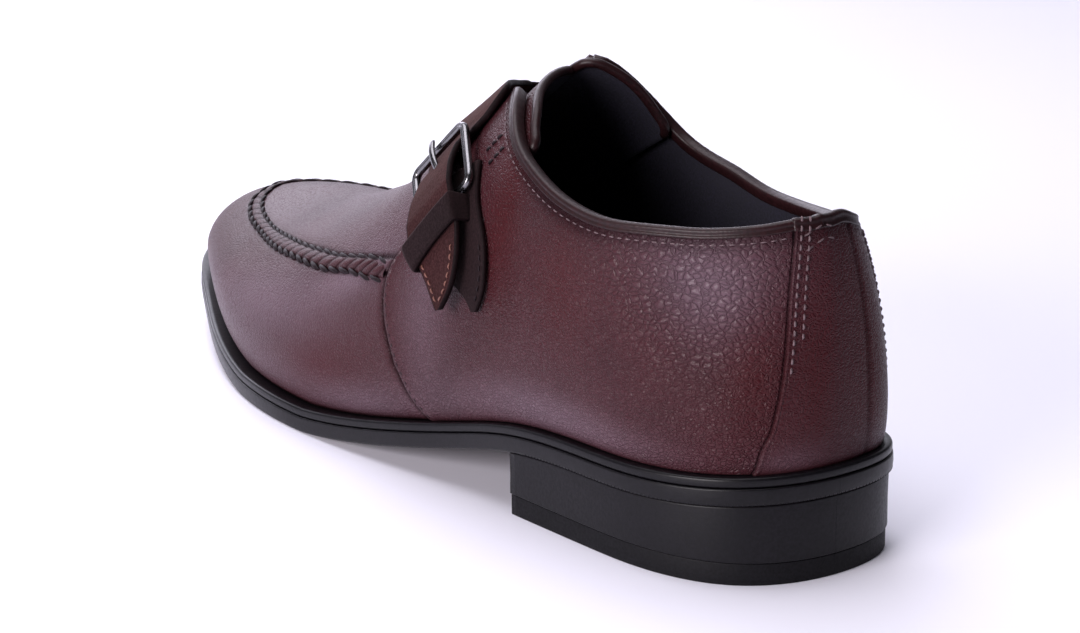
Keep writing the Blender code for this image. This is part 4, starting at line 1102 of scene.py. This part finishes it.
# %% Sole slices
def slices(step, stop=None):
    """Pairs of lateral and medial angles for slices across the foot, close together at its ends."""
    ends = np.array([0.03, 0.08, 0.18, 0.36, 0.7, 1.2])
    turns = np.concatenate([ends, np.arange(2.0, 178.1, step), 180 - ends[::-1]])
    if stop is not None:
        turns = np.concatenate([turns[turns < stop - 0.2], [stop]])
    return [(t, 360.0 - t) for t in turns]


def slab(name, pairs, levels, looks, node_name, across=12):
    """Solid slab through slices. Levels go from the underside to the top: (inset, height).
    A second look, if there is one, is for the underside."""
    rings = []
    for pair in pairs:
        sides = []
        for inset, height in levels:
            ends = plan_inset(np.array(pair), np.array([inset, inset]))
            sides.append([np.array([x, y, height(y)]) for x, y in ends])
        ring = []
        for k in range(across + 1):
            spot = sides[0][0] + (sides[0][1] - sides[0][0]) * k / across
            ring.append([spot[0], spot[1], levels[0][1](spot[1])])
        for side in sides[1:-1]:
            ring.append(side[1])
        for k in range(across + 1):
            spot = sides[-1][1] + (sides[-1][0] - sides[-1][1]) * k / across
            ring.append([spot[0], spot[1], levels[-1][1](spot[1])])
        for side in reversed(sides[1:-1]):
            ring.append(side[0])
        rings.append(ring)
    rings = np.array(rings)
    count, size = rings.shape[:2]
    faces = capped(count, size, flip=True)
    look_of = [0] * len(faces)
    if len(looks) > 1:
        look_of = [1 if k % size < across else 0 for k in range(len(faces) - 2)] + [0, 0]
    return make_piece(name, rings.reshape(-1, 3), faces, looks, node=node_name,
                      look_of=look_of)


def raised(surface, height):
    return lambda y: surface(y) + height


def halfway(low, high):
    return lambda y: (low(y) + high(y)) / 2


def level(height):
    return lambda y: height


def rounded(bottom, top, low_round, high_round, inset=0.0, belly=0.0, steps=4):
    """Edge profile of a slab: rounded corners and a slightly full side."""
    turns = [math.pi / 2 * k / steps for k in range(steps + 1)]
    levels = [(inset + low_round * (1 - math.sin(t)), raised(bottom, low_round * (1 - math.cos(t))))
              for t in turns]
    levels.append((inset - belly, halfway(bottom, top)))
    return levels + [(inset + high_round * (1 - math.cos(t)), raised(top, -high_round * (1 - math.sin(t))))
                     for t in turns]


PAIRS = slices(0.9)
outsole_edge = rounded(sole_low, raised(sole_low, OUTSOLE), 0.0008, 0.0004, belly=0.00012)
slab("outsole_leather", PAIRS, outsole_edge, [EDGE_BLACK, SOLE_BROWN], "outsole")

# %% [markdown]
# The welt is a narrow strip of leather sewn round the foot of the upper. Only its outer part
# shows, as a ledge round the shoe. It is a ring with one cross-section all the way round.

# %% Welt
def make_welt():
    """Strip under the upper's edge, with a fine step where it meets the outsole."""
    angles = np.arange(0, 360, 0.9)
    bare = spline(LEDGE["angle"], LEDGE["ledge"], fold(angles)[0]) * MM
    base = OUTSOLE + 0.00012
    profile = [(0.0009, 0.0), (0.00035, 0.0002), (0.00022, 0.0006), (0.00022, WELT - 0.0008),
               (0.0004, WELT - 0.0003), (0.0009, WELT - 0.00005), (0.0016, WELT - 0.0001)]
    rings = []
    for inset, up in profile:
        edge = plan_inset(angles, np.full(len(angles), inset))
        rings.append(np.column_stack([edge, sole_low(edge[:, 1]) + base + up]))
    for extra, up in ((-0.0006, WELT - 0.0001), (0.0062, WELT - 0.0001), (0.0062, 0.0)):
        edge = plan_inset(angles, bare + extra)
        rings.append(np.column_stack([edge, sole_low(edge[:, 1]) + base + up]))
    rings = np.array(rings)
    faces = grid_faces(0, len(profile) + 3, len(angles), close_rows=True, close_columns=True).tolist()
    return make_piece("welt_strip", rings.reshape(-1, 3), faces, [EDGE_BLACK], node="welt")


make_welt()

# %% [markdown]
# The heel is a stack of leather cut a little smaller than the seat, with a rubber lift nailed
# under it. Its front, the breast, is flat. A fine line parts the lift from the stack, and a
# wheel has pressed a row of tiny ticks where the stack meets the sole.

# %% Heel
BREAST = math.degrees(math.acos(1 - 2 * HEEL_LENGTH / LENGTH))


def taper(height):
    """How far the heel's side has drawn in at a height."""
    return 0.0006 + 0.0008 * (1 - height / HEEL_HEIGHT)


HEEL_PAIRS = slices(0.9, stop=BREAST)
lift_edge = rounded(level(0.0), level(TOP_LIFT), 0.0004, 0.0003, inset=taper(0.002))
slab("heel_lift_rubber", HEEL_PAIRS, lift_edge, [RUBBER], "heel_top_lift")
stack_edge = rounded(level(TOP_LIFT + 0.00015), raised(sole_low, -0.00012), 0.0003, 0.0005,
                     inset=taper(0.013), belly=-0.0001)
slab("heel_stack_leather", HEEL_PAIRS, stack_edge, [HEEL_BLACK], "heel_stack")


def edge_path(first, last_angle, inset, height, count=400):
    """Path round the edge of the sole, with its outward direction."""
    turn = np.linspace(first, last_angle, count)
    edge = plan_inset(turn, np.full(count, inset))
    out = edge - plan_inset(turn, np.full(count, inset + 0.001))
    out /= np.linalg.norm(out, axis=1, keepdims=True)
    path = np.column_stack([edge, [height(y) for y in edge[:, 1]]])
    return path, np.column_stack([out, np.zeros(count)])


seat_line = edge_path(-BREAST + 3, BREAST - 3, 0.0001, raised(sole_low, 0.0007))
stitch_row("heel_seat_ticks", [seat_line], EDGE_BLACK, 0.0012, 0.0011, 0.0005,
           slant=90, high=0.0, lift=-0.0001)

# %% [markdown]
# The footbed is a black leather sheet that fills the inside of the shoe to the lining. Its rim
# turns up a little, as a footbed does after it has been pressed into place.

# %% Footbed
insole_floor = raised(sole_low, OUTSOLE + WELT + 2 * GAP)


def make_footbed():
    """Black leather footbed, cut to the inside of the upper."""
    angles = np.linspace(1.5, 178.5, 150)
    rings = []
    for turn in angles:
        pair = np.array([turn, 360 - turn])
        bare = spline(LEDGE["angle"], LEDGE["ledge"], fold(pair)[0]) * MM
        ends = plan_inset(pair, bare + WALL + 0.0007)
        ring = []
        for k in range(17):
            x, y = ends[0] + (ends[1] - ends[0]) * k / 16
            rim = min(k, 16 - k) / 16
            dish = 0.0008 * (1 - min(rim * 5, 1)) ** 2
            ring.append([x, y, insole_floor(y) + INSOLE + dish])
        for k in range(16, -1, -1):
            x, y = ends[0] + (ends[1] - ends[0]) * k / 16
            ring.append([x, y, insole_floor(y) - WELT / 2])
        rings.append(ring)
    rings = np.array(rings)
    faces = capped(len(rings), rings.shape[1])
    return make_piece("footbed", rings.reshape(-1, 3), faces, [INSOLE_LOOK], node="insole")


make_footbed()

# %% [markdown]
# A rolled strip of brown leather binds the top edge. It is folded over the edge and sewn along
# its lower side, which leaves a round bead on top and a flat below it. The heel patch carries a
# short strip of its own, laid over the ends of the long ones.

# %% Collar binding
def collar_line(first, last_turn, count):
    """Points on the collar's edge with the outward and downward directions there."""
    turn = np.linspace(first, last_turn, count)
    share = collar_share(turn)
    line = last(turn, share)
    run = np.gradient(line, axis=0)
    run /= np.linalg.norm(run, axis=1, keepdims=True)
    out = facing(turn, share)
    down = np.cross(out, run)
    down *= -np.sign(down[:, 2:3])
    down /= np.linalg.norm(down, axis=1, keepdims=True)
    return turn, line, out, down


# Cross-section of the strip in mm: how far out, and how far down from the edge.
OUT_SIDE = QUARTER_OFF + 0.30
IN_SIDE = INNER_OFF - 0.35
BINDING_PROFILE = [
    (OUT_SIDE - 0.25, 2.78), (OUT_SIDE - 0.04, 2.66), (OUT_SIDE + 0.04, 2.38),
    (OUT_SIDE - 0.04, 2.02), (OUT_SIDE - 0.14, 1.78), (OUT_SIDE + 0.04, 1.50),
    (OUT_SIDE + 0.20, 1.10), (OUT_SIDE + 0.14, 0.68), (OUT_SIDE - 0.10, 0.32),
    (OUT_SIDE - 0.55, 0.02), (-0.65, -0.08), (IN_SIDE + 0.6, 0.02),
    (IN_SIDE + 0.15, 0.35), (IN_SIDE, 1.0), (IN_SIDE, 1.8), (IN_SIDE + 0.05, 2.6),
    (IN_SIDE + 0.2, 3.1), (IN_SIDE + 0.6, 3.3), (OUT_SIDE - 0.6, 2.95),
]


def bind(name, first, last_turn, count, swell=0.0, node_name=None):
    """Strip over the top edge between two angles, a little smaller at its two ends."""
    turn, line, out, down = collar_line(first, last_turn, count)
    profile = np.array(BINDING_PROFILE)
    core = np.array([(OUT_SIDE + IN_SIDE) / 2, 1.6])
    rings = []
    ends = np.minimum(np.arange(count), np.arange(count)[::-1])
    for i in range(count):
        close = 1 - 0.35 * (1 - min(ends[i] / 2.0, 1)) ** 2
        ripple = 1 + 0.012 * math.sin(i * 2.1)
        shape = core + (profile - core) * (close * ripple) + np.sign(profile - core) * swell
        rings.append(line[i] + out[i] * shape[:, :1] * MM + down[i] * shape[:, 1:] * MM)
    return make_piece(name, np.concatenate(rings), capped(count, len(profile)), [BINDING_LOOK],
                      node=node_name)


bind("collar_binding_leather", -72.5, 71.8, 420, node_name="collar_binding")
bind("heel_binding_leather", -22.5, 6.6, 90, swell=0.28)

# %% [markdown]
# The tongue is a curved sheet of the same burgundy leather under the throat, with a brown
# bound edge across its top that shows just inside the quarters.

# %% Tongue
def tongue_places(cross, deep, lift):
    """Places on the tongue: cross from -1 to 1 over the foot, deep from 0 at its top edge."""
    share = 1.0 - 0.49 * np.abs(cross) ** 1.15
    lateral = spline(TONGUE_EDGE["share"], TONGUE_EDGE["lateral"], share)
    medial = spline(TONGUE_EDGE["share"], TONGUE_EDGE["medial"], share)
    rear = np.where(cross <= 0, lateral, medial)
    angle = rear + (TONGUE_FRONT - rear) * deep
    angle = np.where(cross > 0, 360.0 - angle, angle)
    return skin(angle, share, lift - 0.6 * np.clip(deep, 0, 1))


def thick_sheet(top, low):
    """Points and faces of a sheet between two grids, with the faces of its rim last."""
    wide, long = top.shape[:2]
    points = np.concatenate([top.reshape(-1, 3), low.reshape(-1, 3)])
    under = wide * long
    faces = grid_faces(0, wide, long).tolist() + grid_faces(under, wide, long, flip=True).tolist()
    rim = [(i, 0) for i in range(wide)] + [(wide - 1, j) for j in range(1, long)]
    rim += [(i, long - 1) for i in range(wide - 2, -1, -1)] + [(0, j) for j in range(long - 2, 0, -1)]
    for n, (i, j) in enumerate(rim):
        k, m = rim[(n + 1) % len(rim)]
        a, b = i * long + j, k * long + m
        faces.append([a, b, under + b, under + a])
    return points, faces, len(rim)


def make_tongue():
    cross, deep = np.meshgrid(np.linspace(-1, 1, 121), np.linspace(0, 1, 60), indexing="ij")
    lift = INNER_OFF - 0.75 + 0 * cross
    soft = 0.12 * np.sin(cross * 9 + deep * 4)
    top = tongue_places(cross, deep, lift + soft)
    low = tongue_places(cross, deep, lift + soft - TONGUE_THICK / MM)
    points, faces, rim = thick_sheet(top, low)
    outside = (len(faces) - rim) // 2
    look_of = [0] * outside + [1] * (len(faces) - outside)
    piece = make_piece("tongue_leather", points, faces, [BURGUNDY_PLAIN, LINING], node="tongue",
                       look_of=look_of)
    cross = np.linspace(-0.99, 0.99, 160)
    half_way = INNER_OFF - 0.75 - TONGUE_THICK / MM / 2 + 0.12 * np.sin(cross * 9)
    middle = tongue_places(cross, 0 * cross, half_way)
    outward = tongue_places(cross, 0 * cross, INNER_OFF + 0.25 + 0 * cross) - middle
    outward /= np.linalg.norm(outward, axis=1, keepdims=True)
    tube("tongue_binding", middle, 1.35 * MM, BINDING_LOOK, outward, 0.95)
    return piece


make_tongue()

# %% [markdown]
# The strap comes over the instep from the inner side, dives under the buckle's top bar, climbs
# over the lower bar and ends in a free point held by a loop. A short pointed piece lies under
# it. Both are brown suede with edges painted black, and their shape is one cross-section with
# rounded edges, carried along the strap.

# %% Straps
ROUND_STEPS = 4


def strap_section(thick, wide_mm):
    """Side and lift of the points round a strap's cross-section, and which belong to its edges."""
    r = min(thick * 0.42, 0.8)
    side, lift, edge = [], [], []
    flat = np.linspace(r, wide_mm - r, 13)
    for x in flat:
        side.append(x)
        lift.append(0.0)
        edge.append(False)
    for k in range(1, 2 * ROUND_STEPS):
        t = -math.pi / 2 + math.pi * k / (2 * ROUND_STEPS)
        side.append(wide_mm - r + r * math.cos(t))
        lift.append(thick / 2 + (thick / 2) * math.sin(t))
        edge.append(True)
    for x in flat[::-1]:
        rise = 0.0 if r + 1.2 < x < wide_mm - r - 1.2 else -0.06
        side.append(x)
        lift.append(thick + rise)
        edge.append(False)
    for k in range(1, 2 * ROUND_STEPS):
        t = math.pi / 2 + math.pi * k / (2 * ROUND_STEPS)
        side.append(r + r * math.cos(t))
        lift.append(thick / 2 + (thick / 2) * math.sin(t))
        edge.append(True)
    return np.array(side) / wide_mm, np.array(lift), np.array(edge)


def make_strap(name, table, first, last_share, count, thick, look, node_name):
    """A strap or tab from its table, with black edges."""
    shares = np.linspace(first, last_share, count)
    points = []
    for share in shares:
        ends = strap_points(table, np.array([share, share]), np.array([0.0, 1.0]), np.array([0.0, 0.0]))
        wide = max(float(np.linalg.norm(ends[1] - ends[0])) / MM, 2.2)
        side, lift, edge = strap_section(thick / MM, wide)
        points.append(strap_points(table, np.full(len(side), share), side, lift))
    size = len(side)
    edge_face = edge | np.roll(edge, -1)
    look_of = np.tile(edge_face.astype(int), count - 1).tolist() + [1, 1]
    return make_piece(name, np.concatenate(points), capped(count, size), [look, STRAP_EDGE], node=node_name,
                      look_of=look_of)


make_strap("strap_suede", STRAP, 0.2765, 1.44, 300, STRAP_THICK, SUEDE, "strap")
make_strap("tab_suede", TAB, 0.2665, 0.515, 110, TAB_THICK, STRAP_TAB, "buckle_tab")

# %% [markdown]
# The keeper is a short flat loop of suede that holds the strap's free end down. Its roof lies on
# the strap and its two legs go down beside it. It is a thick sheet bent along a path.

# %% Keeper loop
def make_keeper():
    """Flat loop of suede over the strap, its two legs going down to the leather."""
    levels = np.linspace(0.370, 0.416, 26)
    layers = []
    for extra, wide in ((0.0, 0.012), (1.15, 0.055)):
        grid = []
        for n, level in enumerate(levels):
            under = np.interp(level, STRAP["share"], STRAP["lift"])
            edge = min(n, len(levels) - 1 - n)
            soft = -0.35 * (1 - min(edge / 2.5, 1)) ** 2 if extra else 0.0
            roof = STRAP_THICK / MM + 0.35 + extra + soft
            rear_foot = TAB["lift"][-1] + TAB_THICK / MM + 0.1 - under
            front_foot = 0.75 - under
            path = []
            for t in np.linspace(0, 1, 6):
                path.append((-wide, rear_foot + (roof - 0.6 - rear_foot) * t))
            path.append((-wide * 0.8, roof - 0.15))
            path += [(s, roof + 0.25 * math.sin(math.pi * s)) for s in np.linspace(0, 1, 17)]
            path.append((1 + wide * 0.8, roof - 0.15))
            for t in np.linspace(1, 0, 6):
                path.append((1 + wide, front_foot + (roof - 0.6 - front_foot) * t))
            side, lift = np.array(path).T
            share = level - skew(level) * (side - 0.5)
            rear = spline(STRAP["share"], STRAP["rear"], share)
            front = spline(STRAP["share"], STRAP["front"], share)
            grid.append(skin(rear + (front - rear) * side, share, under + lift))
        layers.append(np.array(grid))
    low, top = layers
    points, faces, rim = thick_sheet(top, low)
    look_of = [0] * (len(faces) - rim) + [1] * rim
    return make_piece("keeper_suede", points, faces, [STRAP_TAB, STRAP_EDGE], node="strap_keeper",
                      look_of=look_of)


make_keeper()

# %% [markdown]
# The buckle is a four-sided frame of flat bar with softened corners, askew on the strap. The
# bar's section is a rounded rectangle with a fine groove along its face, which gives the double
# highlight. First come the frame's middle, its two directions and its size.

# %% Place of the buckle
def buckle_axes():
    """Middle of the top bar, the frame's three directions, and its width and length."""
    rear, front, low = (skin(*BUCKLE[key]) for key in ("rear", "front", "low"))
    across = front - rear
    wide = float(np.linalg.norm(across))
    across /= wide
    start = (rear + front) / 2
    down = low - start
    down -= across * down.dot(across)
    long = float(np.linalg.norm(down))
    down /= long
    out = np.cross(down, across)
    if out[0] > 0:
        out = -out
    return start, across, down, out, wide, long


START, ACROSS, DOWN, OUT, FRAME_WIDE, FRAME_LONG = buckle_axes()
print("buckle", round(FRAME_WIDE / MM, 1), "by", round(FRAME_LONG / MM, 1), "mm between bar middles")

# %% [markdown]
# The frame's path is a rectangle with a quarter circle at each corner. The bar's section is
# carried round it, with one side always towards the middle of the frame.

# %% Buckle frame
CORNER = 0.0024
BAR_SECTION = [(-1.05, -0.55), (-0.75, -0.9), (0.75, -0.9), (1.05, -0.55), (1.12, 0.2),
               (0.9, 0.75), (0.55, 0.98), (0.25, 0.99), (0.12, 0.80), (-0.12, 0.80),
               (-0.25, 0.99), (-0.55, 0.98), (-0.9, 0.75), (-1.12, 0.2)]


def frame_path():
    half = FRAME_WIDE / 2
    path = []
    sides = [(-half, 0), (half, 0), (half, FRAME_LONG), (-half, FRAME_LONG)]
    for n, (u, v) in enumerate(sides):
        turn_from = math.radians((180, 270, 0, 90)[n])
        cu = u - math.copysign(CORNER, u)
        cv = v + (CORNER if v == 0 else -CORNER)
        for k in range(9):
            t = turn_from + math.radians(90 * k / 8)
            path.append((cu + CORNER * math.cos(t), cv + CORNER * math.sin(t)))
        after = sides[(n + 1) % 4]
        a = np.array(path[-1])
        toward = np.array([after[0] - u, after[1] - v])
        length = np.linalg.norm(toward)
        toward = toward / length
        for k in range(1, 10):
            path.append(tuple(a + toward * (length - 2 * CORNER) * k / 10))
    return np.array(path)


def make_frame():
    path = frame_path()
    ahead = np.roll(path, -1, 0) - np.roll(path, 1, 0)
    ahead /= np.linalg.norm(ahead, axis=1, keepdims=True)
    rings = []
    for (u, v), (du, dv) in zip(path, ahead):
        middle = START + ACROSS * u + DOWN * v
        aside = ACROSS * dv - DOWN * du
        rings.append([middle + aside * a * MM + OUT * b * MM for a, b in BAR_SECTION])
    rings = np.array(rings)
    faces = grid_faces(0, len(rings), len(BAR_SECTION), close_rows=True, close_columns=True)
    return make_piece("buckle_frame_metal", rings.reshape(-1, 3), faces, [METAL], node="buckle_frame")


make_frame()

# %% [markdown]
# The prong comes up from under the strap and rests on the top bar. Its path is a short list of
# places: how far down the frame, as a share of its length, and how far out of it in mm.

# %% Prong
def make_prong():
    places = np.array([(0.928, 0.0), (0.82, -0.1), (0.718, -0.1), (0.564, 0.1), (0.41, 0.9),
                       (0.282, 1.9), (0.154, 2.4), (0.077, 2.5), (0, 2.35), (-0.062, 2.1),
                       (-0.103, 1.8), (-0.118, 1.6)])
    size = np.array([0.8, 0.9, 0.95, 1.0, 1.0, 1.0, 0.98, 0.95, 0.9, 0.8, 0.55, 0.25])
    run = np.arange(len(places), dtype=float)
    fine = np.linspace(0, len(places) - 1, 60)
    v = spline(run, places[:, 0], fine)
    lift = spline(run, places[:, 1], fine)
    path = START + DOWN * v[:, None] * FRAME_LONG + OUT * lift[:, None] * MM
    return tube("buckle_prong_metal", path, np.interp(fine, run, size) * MM, METAL,
                np.tile(OUT, (len(path), 1)), 0.8, node="buckle_prong")


make_prong()

# %% [markdown]
# Now the thread. Each row follows a seam at a fixed distance, found from the same tables that
# shaped the leather, and every stitch is a small bead of its own. The apron's rows are thick
# waxed cord, sewn at a slant by hand. The others are finer.

# %% Apron cords
def surface_row(turns, shares, lift):
    """Path on the upper with its outward direction."""
    turns = np.asarray(turns, float)
    shares = np.asarray(shares, float)
    return skin(turns, shares, np.full(turns.shape, lift)), facing(turns, shares)


def apron_row(which, lift):
    """Path along the apron's band, at a share of the way from its outer to its inner edge."""
    turn = np.linspace(QUARTER_AT + 1.1, 360 - QUARTER_AT - 1.1, 500)
    folded = fold(turn)[0]
    low = spline(APRON["angle"], APRON["lower"], folded)
    high = spline(APRON["angle"], APRON["upper"], folded)
    share = low + (high - low) * which
    moved = turn + seam_shift(turn, share)
    return surface_row(moved, share, lift)


stitch_row("apron_outer_cord", [apron_row(-0.06, VAMP_OFF + 0.10)], DARK_THREAD,
           PLEAT, PLEAT * 1.1, 0.00125, slant=-11)
stitch_row("apron_inner_cord", [apron_row(1.06, VAMP_OFF + 0.10)], DARK_THREAD,
           PLEAT, PLEAT * 1.08, 0.00105, slant=-9)

# %% [markdown]
# Fine rows run beside the seams of the heel patch and of the quarters. A row is a column of the
# grid, moved sideways, so it bends as its seam does.

# %% Seam rows
def column_row(at, offset, first, end, lift, count=160):
    """Row along a seam: a column of the grid, moved sideways by some mm."""
    share = np.linspace(first, end, count)
    column = np.full(count, float(at))
    turn = column + seam_shift(column, share)
    reach = np.linalg.norm(last(turn + 0.5, share) - last(turn - 0.5, share), axis=1) / MM
    turn = turn + offset / reach
    return surface_row(turn, share, lift)


patch_rows = [column_row(PATCH_LATERAL, -1.6, 0.30, 0.522, PATCH_OFF - 0.05),
              column_row(PATCH_LATERAL, -3.9, 0.34, 0.515, PATCH_OFF - 0.05),
              column_row(360 + PATCH_MEDIAL, 1.6, 0.24, 0.505, PATCH_OFF - 0.05),
              column_row(360 + PATCH_MEDIAL, 3.9, 0.26, 0.50, PATCH_OFF - 0.05)]
stitch_row("heel_patch_stitches", patch_rows, LIGHT_THREAD, 0.0021, 0.0015, 0.00060)
quarter_rows = [column_row(QUARTER_AT, -2.0, 0.365, 0.50, QUARTER_OFF),
                column_row(360 - QUARTER_AT, 2.0, 0.30, 0.52, QUARTER_OFF)]
stitch_row("quarter_stitches", quarter_rows, LIGHT_THREAD, 0.0030, 0.0017, 0.00042)
dark_rows = [column_row(QUARTER_AT, -1.7, 0.03, 0.36, QUARTER_OFF - 0.05),
             column_row(360 - QUARTER_AT, 1.7, 0.03, 0.30, QUARTER_OFF - 0.05)]
stitch_row("quarter_dark_stitches", dark_rows, DARK_THREAD, 0.0026, 0.0020, 0.00045)

# %% [markdown]
# A few short rows hold the corners: two bars at the end of the quarter's slot and two at the top
# of the heel patch. One long row on each side runs under the collar's binding.

# %% Short rows
def straight_row(start, end, lift, count=60):
    """Row between two places, each an angle and a share of the height."""
    t = np.linspace(0, 1, count)
    turn = start[0] + (end[0] - start[0]) * t
    share = start[1] + (end[1] - start[1]) * t
    return surface_row(turn, share, lift)


short_rows = [straight_row((67.1, 0.560), (69.2, 0.535), QUARTER_OFF),
              straight_row((65.6, 0.527), (67.7, 0.500), QUARTER_OFF)]
stitch_row("side_bar_stitches", short_rows, DARK_THREAD, 0.0022, 0.0021, 0.00075)
patch_short = [straight_row((5.0, 0.487), (-2.5, 0.490), PATCH_OFF),
               straight_row((5.0, 0.464), (-2.5, 0.470), PATCH_OFF)]
stitch_row("heel_patch_bar_stitches", patch_short, LIGHT_THREAD, 0.0026, 0.0021, 0.00042)


def under_binding(first, end, drop, count):
    """Row that follows the top edge, some mm below it."""
    turn, line, out, down = collar_line(first, end, count)
    return line + down * drop * MM + out * QUARTER_OFF * MM, out


stitch_row("collar_stitches", [under_binding(8, 70, 4.2, 200),
                               under_binding(-70, -24, 4.2, 160)], LIGHT_THREAD,
           0.0024, 0.0014, 0.00034)

# %% [markdown]
# The strap is sewn along both edges of its free end with tan thread, and the tab along its rear
# edge with dark thread.

# %% Strap stitches
def strap_row(table, first, end, inset, front, thick, count=90):
    """Row of stitches along one edge of a strap, some mm in from it."""
    shares = np.linspace(first, end, count)
    ends = [strap_points(table, shares, np.full(count, s), np.zeros(count)) for s in (0.0, 1.0)]
    wide = np.linalg.norm(ends[1] - ends[0], axis=1) / MM
    side = np.clip(inset / wide, 0, 0.5)
    side = 1 - side if front else side
    path = strap_points(table, shares, side, np.full(count, thick / MM - 0.02))
    above = strap_points(table, shares, side, np.full(count, thick / MM + 1.0))
    return path, (above - path) / MM


tip_rows = [strap_row(STRAP, 0.286, 0.365, 2.2, True, STRAP_THICK),
            strap_row(STRAP, 0.286, 0.365, 2.2, False, STRAP_THICK)]
stitch_row("strap_stitches", tip_rows, TAN_THREAD, 0.0023, 0.0017, 0.00050)
tab_rows = [strap_row(TAB, 0.278, 0.36, 1.8, False, TAB_THICK)]
stitch_row("tab_stitches", tab_rows, DARK_THREAD, 0.0023, 0.0017, 0.00045)

# %% [markdown]
# Under the front of the sole, a dark row shows where the outsole is sewn to the welt.

# %% Channel row under the sole
def channel_row():
    """Path round the front of the underside, some way in from its edge."""
    turn = np.linspace(80, 280, 420)
    edge = plan_inset(turn, np.full(len(turn), 0.0078))
    path = np.column_stack([edge, [max(sole_low(y) + 0.00005, 0.0004) for y in edge[:, 1]]])
    return path, np.tile([0.0, 0.0, -1.0], (len(turn), 1))


stitch_row("outsole_channel_stitches", [channel_row()], DARK_THREAD, 0.0034, 0.0026, 0.0007,
           high=0.1)

# %% [markdown]
# The shoe stands on a pale floor in soft light. Wide lamps behind and overhead give the pale
# sheen on the toe and on the welt, and a smaller one to the left the soft shine on the rear
# quarter. A pale reflection is also painted on the leather of the vamp, the lower sides and the
# rear quarter. The room itself is bright only behind the shoe.

# %% Floor and light
floor_mesh = bpy.data.meshes.new("floor")
floor_mesh.from_pydata([(-6, -6, 0), (6, -6, 0), (6, 6, 0), (-6, 6, 0)], [], [(0, 1, 2, 3)])
floor_mesh.materials.append(new_material("pale_floor", (0.885, 0.875, 0.965), 0.55)[0])
floor = bpy.data.objects.new("floor", floor_mesh)
bpy.context.scene.collection.objects.link(floor)
floor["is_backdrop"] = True


def lamp(name, place, aim, wide, tall, power, colour):
    """Soft rectangular lamp that shines from its place towards its aim."""
    data = bpy.data.lights.new(name, "AREA")
    data.shape = "RECTANGLE"
    data.size = wide
    data.size_y = tall
    data.energy = power
    data.color = colour
    made = bpy.data.objects.new(name, data)
    place, aim = np.array(place, float), np.array(aim, float)
    back = (place - aim) / np.linalg.norm(place - aim)
    right = np.cross([0, 0, 1.0], back)
    right /= np.linalg.norm(right)
    up = np.cross(back, right)
    made.matrix_world = Matrix([[right[i], up[i], back[i], place[i]] for i in range(3)] + [[0, 0, 0, 1]])
    bpy.context.scene.collection.objects.link(made)


MIDDLE = (0.0, 0.10, 0.04)
lamp("lamp_behind", (0.42, 1.80, 0.84), MIDDLE, 1.7, 0.9, 17.0, (0.88, 0.86, 1.0))
lamp("lamp_over", (-0.10, 0.30, 1.35), MIDDLE, 1.2, 1.2, 17.5, (0.96, 0.94, 1.0))
lamp("lamp_left", (-1.24, -0.23, 0.47), MIDDLE, 0.80, 0.50, 20.0, (1.0, 0.95, 0.98))

# The room is bright behind the shoe and dark on the other sides, so the sides keep their colour.
world = bpy.data.worlds.new("studio")
bpy.context.scene.world = world
world.use_nodes = True
room = world.node_tree
direction = node(room, "TexCoord").outputs["Generated"]
toward_light = node(room, "VectorMath", {"operation": "DOT_PRODUCT"}, i0=direction,
                    i1=(0.25, 0.93, 0.25)).outputs["Value"]
room_light = ramp(room, toward_light, 0.40, 0.95, 0.06, 0.80)
background = room.nodes["Background"]
background.inputs[0].default_value = (0.90, 0.88, 1.0, 1.0)
room.links.new(room_light, background.inputs[1])
bpy.context.scene.view_settings.view_transform = "Standard"
print("floor, lamps and background ready")

# %% [markdown]
# Last, the size of the finished shoe is written beside that of the solid model, to show that
# the dressing has not changed it.

dressed_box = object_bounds()
for axis in range(3):
    solid_size = solid_box[1][axis] - solid_box[0][axis]
    dressed_size = dressed_box[1][axis] - dressed_box[0][axis]
    print("XYZ"[axis], round(solid_size / MM, 1), "mm solid,", round(dressed_size / MM, 1), "mm dressed")
